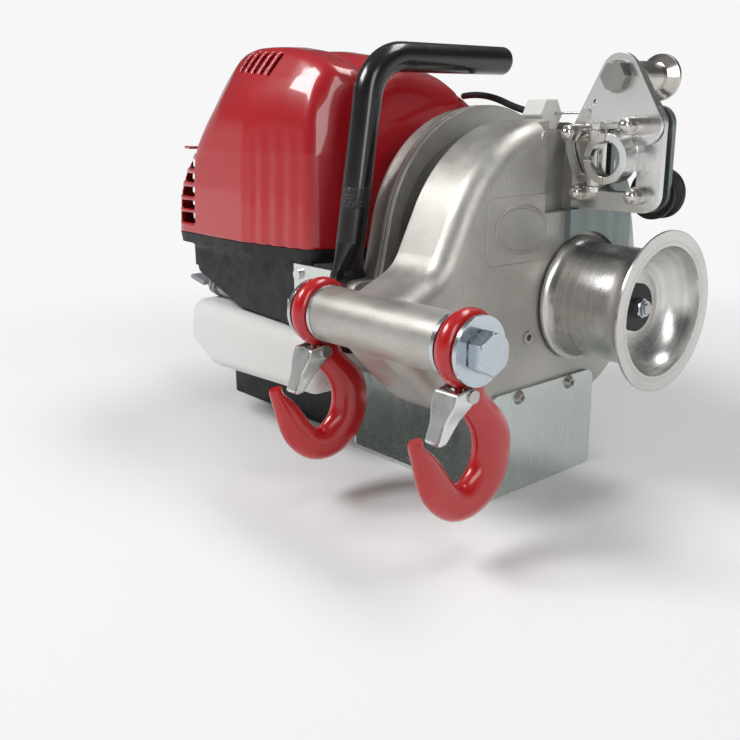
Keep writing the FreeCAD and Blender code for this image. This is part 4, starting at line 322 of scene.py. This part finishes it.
def plated_metal(name, color, tint, rough=0.28, metal=0.95, swirl=0.5):
    made = Finish(name, color, rough, metal)
    made.soften(0.0005)
    cloud = made.noise(22, 5, 0.6)
    streak = made.noise(120, 4, 0.6, made.stretch((1, 1, 0.18)))
    base = made.mix(made.span(cloud, 0.38, 0.64, 0, swirl), color, tint)
    worn = made.edges(0.0007)
    bright = tuple(min(1, part * 1.15) for part in color)
    base = made.mix(made.math("MULTIPLY", worn, 0.5), base, bright)
    spot = made.span(made.noise(210, 2), 0.66, 0.74, 0, 0.25)
    made.set("Base Color", made.mix(spot, base, tuple(part * 0.6 for part in color)))
    made.set("Roughness", made.span(streak, 0.3, 0.7, rough * 0.75, rough * 1.35))
    made.bump(made.noise(1700, 2), 0.12, 0.0001)
    made.bump(streak, 0.06, 0.0004)
    return made.mat


def gloss_paint(name, color, coat=1.0, rough=0.28, peel=0.05, chips=0.0):
    made = Finish(name, color, rough, 0.0, 0.45)
    made.soften(0.0008)
    cloud = made.noise(7, 2)
    deep = tuple(part * 0.86 for part in color)
    base = made.mix(made.span(cloud, 0.35, 0.7), color, deep)
    if chips:
        worn = made.span(made.noise(170, 4, 0.7), 0.50, 0.58, 0, 1)
        edge = made.math("MULTIPLY", made.edges(0.0011, 0.05, 0.4), worn)
        base = made.mix(made.math("MULTIPLY", edge, chips), base, (0.16, 0.15, 0.15))
    made.set("Base Color", base)
    dust = made.noise(38, 3, 0.55)
    made.set("Roughness", made.span(dust, 0.3, 0.75, rough * 0.92, rough * 1.12))
    made.shader.inputs["Coat Weight"].default_value = coat
    made.shader.inputs["Coat Roughness"].default_value = 0.06
    made.bump(made.noise(420, 2), peel, 0.00018)
    made.bump(made.noise(45, 2), peel * 0.5, 0.0012)
    return made.mat


KNURL = (0.209, 0.223)      # heights that the knurled patch runs between
KNURL_EDGE = 0.0005


def gripped_paint():
    """The handle's black coat, with a knurled patch on its front leg."""
    made = Finish("black_powder_coat", (0.006, 0.006, 0.007), 0.26, 0.0, 0.45)
    made.soften(0.0008)
    split = made.add("ShaderNodeSeparateXYZ", Vector=made.place)
    height = split.outputs["Z"]
    low, high = KNURL
    inside = made.math("MULTIPLY", made.span(height, low - KNURL_EDGE, low + KNURL_EDGE),
                       made.span(height, high + KNURL_EDGE, high - KNURL_EDGE))
    crossed = made.add("ShaderNodeTexVoronoi", Vector=made.place, Scale=520).outputs["Distance"]
    made.set("Base Color", made.mix(made.span(made.noise(30, 3), 0.4, 0.7), (0.006, 0.006, 0.007),
                                    (0.009, 0.009, 0.010)))
    made.set("Roughness", made.math("ADD", made.span(made.noise(60, 3), 0.3, 0.7, 0.22, 0.30),
                                    made.math("MULTIPLY", inside, 0.25)))
    made.shader.inputs["Coat Weight"].default_value = 0.6
    made.shader.inputs["Coat Roughness"].default_value = 0.08
    made.bump(made.math("MULTIPLY", crossed, inside), 0.9, 0.0012)
    made.bump(made.noise(420, 2), 0.1, 0.0002)
    return made.mat


def moulded_plastic(name, color, rough=0.5, grain=0.2, size=1500):
    made = Finish(name, color, rough, 0.0, 0.4)
    made.soften(0.0006)
    cloud = made.noise(25, 4)
    pale = tuple(min(1, part * 1.25 + 0.002) for part in color)
    base = made.mix(made.span(cloud, 0.42, 0.72, 0, 0.6), color, pale)
    worn = made.math("MULTIPLY", made.edges(0.0007), 0.35)
    rubbed = tuple(min(1, part * 1.6 + 0.006) for part in color)
    made.set("Base Color", made.mix(worn, base, rubbed))
    made.set("Roughness", made.span(made.noise(80, 4), 0.3, 0.7, rough - 0.1, rough + 0.1))
    made.bump(made.noise(size, 2), grain, 0.00025)
    return made.mat


def white_plastic(name, color, rough=0.38, through=0.35):
    made = Finish(name, color, rough, 0.0, 0.45)
    made.soften(0.001)
    cloud = made.noise(12, 3)
    made.set("Base Color", made.mix(made.span(cloud, 0.35, 0.7), color,
                                    (color[0] * 0.95, color[1] * 0.95, color[2] * 0.93)))
    made.shader.inputs["Subsurface Weight"].default_value = through
    made.shader.inputs["Subsurface Radius"].default_value = (0.006, 0.006, 0.006)
    made.shader.inputs["Subsurface Scale"].default_value = 1.0
    made.set("Roughness", made.span(made.noise(55, 4), 0.3, 0.7, rough - 0.08, rough + 0.1))
    made.bump(made.noise(600, 2), 0.06, 0.0003)
    return made.mat


M = {
    "casting": cast_metal("cast_aluminium", (0.50, 0.485, 0.45)),
    "engine_casting": cast_metal("engine_casting", (0.42, 0.41, 0.39), 0.5, 0.7, 0.5),
    "zinc": plated_metal("bright_zinc", (0.74, 0.76, 0.75), (0.66, 0.70, 0.62)),
    "sheet": plated_metal("zinc_sheet", (0.64, 0.68, 0.66), (0.58, 0.66, 0.61), 0.24, 0.95, 0.45),
    "guide": plated_metal("guide_zinc", (0.80, 0.80, 0.79), (0.74, 0.75, 0.73), 0.22),
    "dark_zinc": plated_metal("dark_zinc", (0.24, 0.28, 0.28), (0.17, 0.20, 0.20), 0.36, 0.8),
    "bolt": plated_metal("blue_zinc", (0.60, 0.65, 0.69), (0.50, 0.55, 0.62), 0.22),
    "dark_bolt": plated_metal("dark_nickel", (0.42, 0.41, 0.39), (0.32, 0.31, 0.30), 0.25),
    "steel": plated_metal("machined_steel", (0.55, 0.54, 0.52), (0.46, 0.45, 0.43), 0.26),
    "stainless": plated_metal("stainless", (0.66, 0.64, 0.60), (0.58, 0.56, 0.52), 0.16),
    "drum": turned_metal("turned_drum", (0.72, 0.71, 0.69), "X", (0, 39, 139)),
    "roller": turned_metal("turned_roller", (0.66, 0.63, 0.58), "Y", (112, 0, 298.4), 0.18),
    "hook_red": gloss_paint("hook_enamel", (0.52, 0.002, 0.006), 0.8, 0.32, 0.10, 0.4),
    "cover_red": gloss_paint("cover_gloss", (0.47, 0.002, 0.010), 0.85, 0.34, 0.05),
    "button_red": gloss_paint("button_gloss", (0.60, 0.01, 0.02), 0.5, 0.35, 0.04),
    "black_gloss": gripped_paint(),
    "black": moulded_plastic("black_moulding", (0.009, 0.009, 0.009)),
    "soft_black": moulded_plastic("black_sleeve", (0.012, 0.012, 0.013), 0.42, 0.08),
    "grey": moulded_plastic("grey_moulding", (0.30, 0.31, 0.33)),
    "burnt": cast_metal("blackened_steel", (0.045, 0.043, 0.040), 0.55, 0.6, 0.5),
    "black_steel": plated_metal("blackened_washer", (0.035, 0.034, 0.033), (0.02, 0.02, 0.02),
                                0.35, 0.8),
    "iron": cast_metal("machined_iron", (0.24, 0.235, 0.23), 0.45, 0.8, 0.4),
    "gasket": moulded_plastic("gasket_sheet", (0.03, 0.03, 0.03), 0.8, 0.3),
    "tank": white_plastic("tank_plastic", (0.80, 0.80, 0.785)),
    "nylon": white_plastic("block_nylon", (0.72, 0.71, 0.68), 0.5, 0.15),
}

LOOKS = {
    "base_plate": "sheet", "gear_housing": "casting", "rear_cover": "casting",
    "housing_gasket": "gasket", "housing_screws": "dark_bolt", "level_plug": "steel",
    "drum": "drum", "drum_shaft": "steel", "drum_washer": "black_steel", "drum_nut": "bolt",
    "drum_bearings": "steel", "first_gear": "steel", "first_shaft": "steel", "second_gear": "steel",
    "second_shaft": "steel", "drum_gear": "steel", "clutch_drum": "steel", "clutch_shoes": "iron",
    "crankshaft": "steel", "fan_flywheel": "engine_casting", "anchor_bolt": "bolt",
    "anchor_washers": "bolt", "near_hook": "hook_red", "near_latch": "zinc",
    "near_latch_pin": "steel", "near_latch_spring": "steel", "far_hook": "hook_red",
    "far_latch": "zinc", "far_latch_pin": "steel", "far_latch_spring": "steel",
    "carry_handle": "black_gloss", "guide_plate": "guide", "guide_bracket": "dark_zinc",
    "guide_studs": "stainless", "guide_lever": "guide", "lever_stud": "stainless",
    "roller_bolt": "dark_bolt", "top_roller": "roller", "rope_wheel": "black",
    "rope_gate": "stainless", "cable_block": "nylon", "throttle_cable": "soft_black",
    "cable_wire": "stainless", "top_cover": "cover_red", "muffler": "burnt",
    "shroud_tray": "black", "engine_block": "engine_casting", "fuel_tank": "tank",
    "tank_cap": "black", "engine_foot": "black", "dipstick": "grey", "engine_bracket": "zinc",
    "recoil_housing": "black", "starter_grip": "soft_black", "air_cleaner": "black",
    "carburettor": "engine_casting", "throttle_arm": "zinc", "choke_lever": "black",
    "stop_switch": "button_red", "spark_plug": "steel",
}

for node, look in LOOKS.items():
    mesh = NODES[node].data
    mesh.materials.clear()
    mesh.materials.append(M[look])
    NODES[node]["look"] = look


# Shapes given by a distance field, in millimetres, and the smooth mesh that follows it

def round_outline(circles, steps=36):
    """The line round a set of circles, as a ring of points."""
    points = []
    for u, v, r in circles:
        for index in range(steps):
            angle = 2 * math.pi * index / steps
            points.append((u + r * math.cos(angle), v + r * math.sin(angle)))
    return np.array([points[index] for index in convex_hull_2d([Vector(p) for p in points])])


def outline_distance(u, v, ring):
    """Signed distance to a convex ring: negative inside it."""
    nearest = np.full(np.broadcast(u, v).shape, 1e9)
    inside = np.full(nearest.shape, True)
    turn = 0.0
    for start, end in zip(ring, np.roll(ring, -1, axis=0)):
        turn += start[0] * end[1] - start[1] * end[0]
    for start, end in zip(ring, np.roll(ring, -1, axis=0)):
        du, dv = end - start
        pu, pv = u - start[0], v - start[1]
        share = np.clip((pu * du + pv * dv) / max(du * du + dv * dv, 1e-9), 0, 1)
        nearest = np.minimum(nearest, (pu - du * share) ** 2 + (pv - dv * share) ** 2)
        inside &= (du * pv - dv * pu) * np.sign(turn) > 0
    away = np.sqrt(nearest)
    return np.where(inside, -away, away)


def both_of(a, b, blend):
    """Intersection of two fields with a rounded edge."""
    near = np.maximum(blend - np.abs(a - b), 0) / blend
    return np.maximum(a, b) + near * near * blend / 4


def either_of(a, b, blend):
    return -both_of(-a, -b, blend)


def box_field(x, y, z, low, high, radius=0.8):
    outer = []
    for value, a, b in zip((x, y, z), low, high):
        outer.append(np.abs(value - (a + b) / 2) - (b - a) / 2 + radius)
    beyond = np.sqrt(sum(np.maximum(part, 0) ** 2 for part in outer))
    return beyond + np.minimum(np.maximum(np.maximum(outer[0], outer[1]), outer[2]), 0) - radius


def soft_table(spots, spread, step=0.5):
    """A smooth curve through measured spots: its stations, values and slopes."""
    stations = np.arange(spots[0][0], spots[-1][0] + step, step)
    values = np.interp(stations, [s for s, _ in spots], [v for _, v in spots])
    reach = int(3 * spread / step)
    weights = np.exp(-0.5 * (np.arange(-reach, reach + 1) * step / spread) ** 2)
    padded = np.concatenate([2 * values[0] - values[reach:0:-1], values,
                             2 * values[-1] - values[-2:-reach - 2:-1]])
    smooth = np.convolve(padded, weights / weights.sum(), "valid")
    return stations, smooth, np.gradient(smooth, step)


def net(name, field, low, high, step, rounds=3):
    """A mesh of four-sided faces on the zero surface of a field."""
    counts = [int(math.ceil((b - a) / step)) + 1 for a, b in zip(low, high)]
    lines = [a + step * np.arange(n) for a, n in zip(low, counts)]
    grid = np.broadcast_to(field(lines[0][:, None, None], lines[1][None, :, None],
                                 lines[2][None, None, :]), counts)
    total = np.zeros([n - 1 for n in counts] + [3])
    hits = np.zeros([n - 1 for n in counts])
    crossings = []
    for axis in range(3):
        first, second = [slice(None)] * 3, [slice(None)] * 3
        first[axis], second[axis] = slice(0, -1), slice(1, None)
        a, b = grid[tuple(first)], grid[tuple(second)]
        cross = (a < 0) != (b < 0)
        share = np.where(cross, a / np.where(a == b, 1, a - b), 0)
        crossings.append((cross, a < 0))
        one, two = [k for k in range(3) if k != axis]
        for du in (0, 1):
            for dv in (0, 1):
                part = [slice(None)] * 3
                part[one] = slice(du, counts[one] - 1 + du)
                part[two] = slice(dv, counts[two] - 1 + dv)
                here = cross[tuple(part)]
                hits += here
                total[..., axis] += share[tuple(part)]
                total[..., one] += here * du
                total[..., two] += here * dv
    used = hits > 0
    index = np.full(used.shape, -1)
    index[used] = np.arange(used.sum())
    points = (np.argwhere(used) + total[used] / hits[used][:, None]) * step + np.array(low)
    faces = []
    for axis, (cross, below) in enumerate(crossings):
        one, two = [k for k in range(3) if k != axis]
        spots = np.argwhere(cross)
        spots = spots[(spots[:, one] > 0) & (spots[:, one] < counts[one] - 1)
                      & (spots[:, two] > 0) & (spots[:, two] < counts[two] - 1)]
        ring = []
        for du, dv in ((1, 1), (0, 1), (0, 0), (1, 0)):
            cell = spots.copy()
            cell[:, one] -= du
            cell[:, two] -= dv
            ring.append(index[tuple(cell.T)])
        quads = np.stack(ring, axis=1)
        flip = ~below[tuple(spots.T)] ^ (axis == 1)
        quads[flip] = quads[flip][:, ::-1]
        faces.append(quads)
    for _ in range(rounds):
        value = field(*points.T)
        slope = np.stack([(field(*(points + shift).T) - value) / 0.05
                          for shift in np.eye(3) * 0.05], axis=1)
        steep = np.maximum((slope ** 2).sum(axis=1), 0.2)
        move = slope * (value / steep)[:, None]
        length = np.maximum(np.sqrt((move ** 2).sum(axis=1)), 1e-9)
        points = points - move * np.minimum(1, 0.4 * step / length)[:, None]
    return make_piece(name, points * MM, np.concatenate(faces).tolist())


def make_piece(name, points, faces):
    mesh = bpy.data.meshes.new(name)
    mesh.from_pydata([tuple(p) for p in points], [], faces)
    mesh.validate()
    mesh.shade_smooth()
    piece = bpy.data.objects.new(name, mesh)
    bpy.context.scene.collection.objects.link(piece)
    return piece


def dress(piece, look, body):
    piece.data.materials.append(M[look])
    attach(piece, body)


# The engine's cover: one moulded shell with vents, louvres and holes

COVER_RING = round_outline([(-259, -88, 22), (-160, -104, 8), (-95, -82, 20), (-79, -58, 16),
                            (-79, 80, 16), (-259, 74, 22)])
COVER_LENGTHWISE = soft_table([(-300, 222), (-285, 246), (-273, 262), (-253, 279), (-235, 301),
                               (-221, 313), (-204, 326), (-185, 329.5), (-166, 329.5),
                               (-145, 328.5), (-116, 324), (-93, 315.5), (-75, 305), (-67, 296),
                               (-55, 280)], 4)
COVER_ACROSS = soft_table([(-125, 96), (-110, 58), (-92, 30), (-84, 18), (-77, 6), (-70, 0.5),
                           (-48, 0), (-38, 4), (-31, 10), (-24, 5), (-14, 2), (0, 2), (54, 12),
                           (80, 28), (110, 64)], 2.2)
COVER_WALL = 3.0
LOUVRES = ((181, 190), (193.5, 201), (205, 213), (217.5, 225), (229, 237), (241.5, 248.5),
           (253, 259.5))


def cover_skin(x, y, z):
    plan = outline_distance(x, y, COVER_RING)
    lean = np.interp(z, (172, 246, 300), (0, 4, 12))
    flutes = 0.45 * np.cos((x + 160) * 2 * math.pi / 16.5)
    where = np.clip((x + 152) / 8, 0, 1) * np.clip((-y - 60) / 12, 0, 1)
    where = where * np.clip((262 - z) / 20, 0, 1)
    wall = plan + lean + flutes * where
    height = np.interp(x, *COVER_LENGTHWISE[:2]) - np.interp(y, *COVER_ACROSS[:2])
    steep = 1 + np.interp(x, COVER_LENGTHWISE[0], COVER_LENGTHWISE[2]) ** 2
    steep = steep + np.interp(y, COVER_ACROSS[0], COVER_ACROSS[2]) ** 2
    return both_of(wall, (z - height) / np.sqrt(steep), 9)


def cover_field(x, y, z):
    outer = cover_skin(x, y, z)
    boss = np.sqrt((x + 82) ** 2 + (y + 82) ** 2 + (z - 181) ** 2) - 5.5
    skin = either_of(outer, boss, 3)
    shell = both_of(skin, -(outer + COVER_WALL), 0.8)
    shell = both_of(shell, 172 - z, 0.8)
    for low, high in LOUVRES:
        shell = both_of(shell, -box_field(x, y, z, (-272, -130, low), (-239, -88, high)), 0.9)
        shell = both_of(shell, -box_field(x, y, z, (-304, -88, low), (-262, -62, high)), 0.9)
    lean = math.radians(22)
    for index in range(5):
        u, w = x + 188 - index * 10.5, z - 318 + index
        along = u * math.sin(lean) + w * math.cos(lean)
        across = u * math.cos(lean) - w * math.sin(lean)
        slot = box_field(across, y, along, (-2.4, -100, -9), (2.4, -73, 9))
        shell = both_of(shell, -slot, 0.9)
    shell = both_of(shell, -box_field(x, y, z, (-176, -10.5, 300), (-160, -5.5, 345)), 0.9)
    turned = np.sqrt((y - 27) ** 2 + (z - 176) ** 2)
    shell = both_of(shell, -np.maximum(turned - 58, np.abs(x + 62) - 18), 0.9)
    shell = both_of(shell, -np.maximum(turned - 12, np.abs(x + 282) - 14), 0.9)
    intake = np.sqrt((x + 155) ** 2 + (z - 233) ** 2)
    shell = both_of(shell, -np.maximum(intake - 13, np.abs(y - 95) - 15), 0.9)
    switch = np.sqrt((x + 230) ** 2 + (z - 215) ** 2)
    shell = both_of(shell, -np.maximum(switch - 7.4, np.abs(y - 95) - 15), 0.9)
    run = np.array((38, -16, 2.5)) / math.sqrt(38 ** 2 + 16 ** 2 + 2.5 ** 2)
    px, py, pz = x + 72, y - 62, z - 289
    along = px * run[0] + py * run[1] + pz * run[2]
    away = np.sqrt(np.maximum(px * px + py * py + pz * pz - along * along, 0))
    shell = both_of(shell, -np.maximum(away - 4.5, np.abs(along) - 22), 0.9)
    for low in (187, 245):
        fin = outline_distance(x, y, np.array([(-274, -90), (-291, -86), (-274, -74)]))
        shell = either_of(shell, np.maximum(fin, np.abs(z - low - 1.25) - 1.25), 1.0)
    return shell


cover = net("cover_shell", cover_field, (-295, -116, 169), (-58, 100, 333), 1.5)
dress(cover, "cover_red", "frame")
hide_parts("top_cover")


# Hook latches: folded sheet, wide at the pin and narrow at the tip

ANCHOR_Y, ANCHOR_Z = -138.5, 139.5
LATCH_RING = round_outline([(-4.5, -27.5, 5), (-16, -26.5, 2.5), (-27.2, -53.6, 2),
                            (-23.5, -53.2, 2)])
LATCH_ROOM = round_outline([(-0.5, -22.5, 9), (-14.6, -27.1, 2.5), (-25.65, -54.2, 2),
                            (-12, -62, 2)])


def latch_field(middle):
    def field(x, y, z):
        u, v = y - ANCHOR_Y, z - ANCHOR_Z
        down = np.clip((-v - 30) / 15, 0, 1)
        half = 9.9 - 3.5 * down * down * (3 - 2 * down)
        outer = both_of(outline_distance(u, v, LATCH_RING), np.abs(x - middle) - half, 1.6)
        room = both_of(outline_distance(u, v, LATCH_ROOM), np.abs(x - middle) - half + 1.5, 1.0)
        gap = box_field(x - middle, u, v, (-8.4, -14.2, -34), (8.4, 20, -15), 0.6)
        hole = np.sqrt((u + 4.5) ** 2 + (v + 27.5) ** 2) - 2.65 + 0 * x
        shell = both_of(outer, -room, 0.5)
        shell = both_of(shell, -gap, 0.5)
        return both_of(shell, -hole, 0.3)
    return field


for side in ("near", "far"):
    low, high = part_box(side + "_latch")
    middle = (low[0] + high[0]) / 2 / MM
    plate = net(side + "_latch_plate", latch_field(middle), (middle - 12, -173, 78),
                (middle + 12, -134, 121), 0.55)
    dress(plate, "zinc", side + "_latch")
    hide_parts(side + "_latch")


# Throttle cable: the sleeve from the cover to its block

CABLE_RADIUS = 2.6
CABLE_ROUTE = [(-72, 62, 289), (-34, 46, 291.5), (28, 26, 274.7), (45, 26, 274.7)]


def make_cable():
    curve = bpy.data.curves.new("cable_sleeve", "CURVE")
    curve.dimensions = "3D"
    curve.bevel_depth = CABLE_RADIUS * MM
    curve.bevel_resolution = 6
    curve.resolution_u = 24
    curve.use_fill_caps = True
    spline = curve.splines.new("NURBS")
    spline.points.add(len(CABLE_ROUTE) - 1)
    for spot, (x, y, z) in zip(spline.points, CABLE_ROUTE):
        spot.co = (x * MM, y * MM, z * MM, 1)
    spline.order_u = 3
    spline.use_endpoint_u = True
    piece = bpy.data.objects.new("cable_sleeve", curve)
    bpy.context.scene.collection.objects.link(piece)
    dress(piece, "soft_black", "frame")
    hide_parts("throttle_cable")


make_cable()


# Raised oval line on the housing's bare badge

def make_ring(name, centre, half_y, half_z, turn, wire, look):
    rounds, sides = 96, 10
    points, faces = [], []
    for step in range(rounds):
        angle = 2 * math.pi * step / rounds
        y, z = half_y * math.cos(angle), half_z * math.sin(angle)
        out = Vector((0, math.cos(angle) / half_y, math.sin(angle) / half_z)).normalized()
        for side in range(sides):
            spin = 2 * math.pi * side / sides
            spot = Vector((wire * math.sin(spin), y, z)) + out * (wire * math.cos(spin))
            spot = Matrix.Rotation(turn, 3, "X") @ spot
            points.append((spot + Vector(centre)) * MM)
    for step in range(rounds):
        for side in range(sides):
            after, beside = (step + 1) % rounds, (side + 1) % sides
            faces.append((step * sides + side, step * sides + beside, after * sides + beside,
                          after * sides + side))
    piece = make_piece(name, points, faces)
    dress(piece, look, "frame")


make_ring("badge_oval", (74.8, -29.5, 196.5), 28, 17, math.radians(-6), 0.8, "casting")
make_ring("badge_inner_oval", (74.8, -29.5, 196.5), 25.6, 14.6, math.radians(-6), 0.4, "casting")
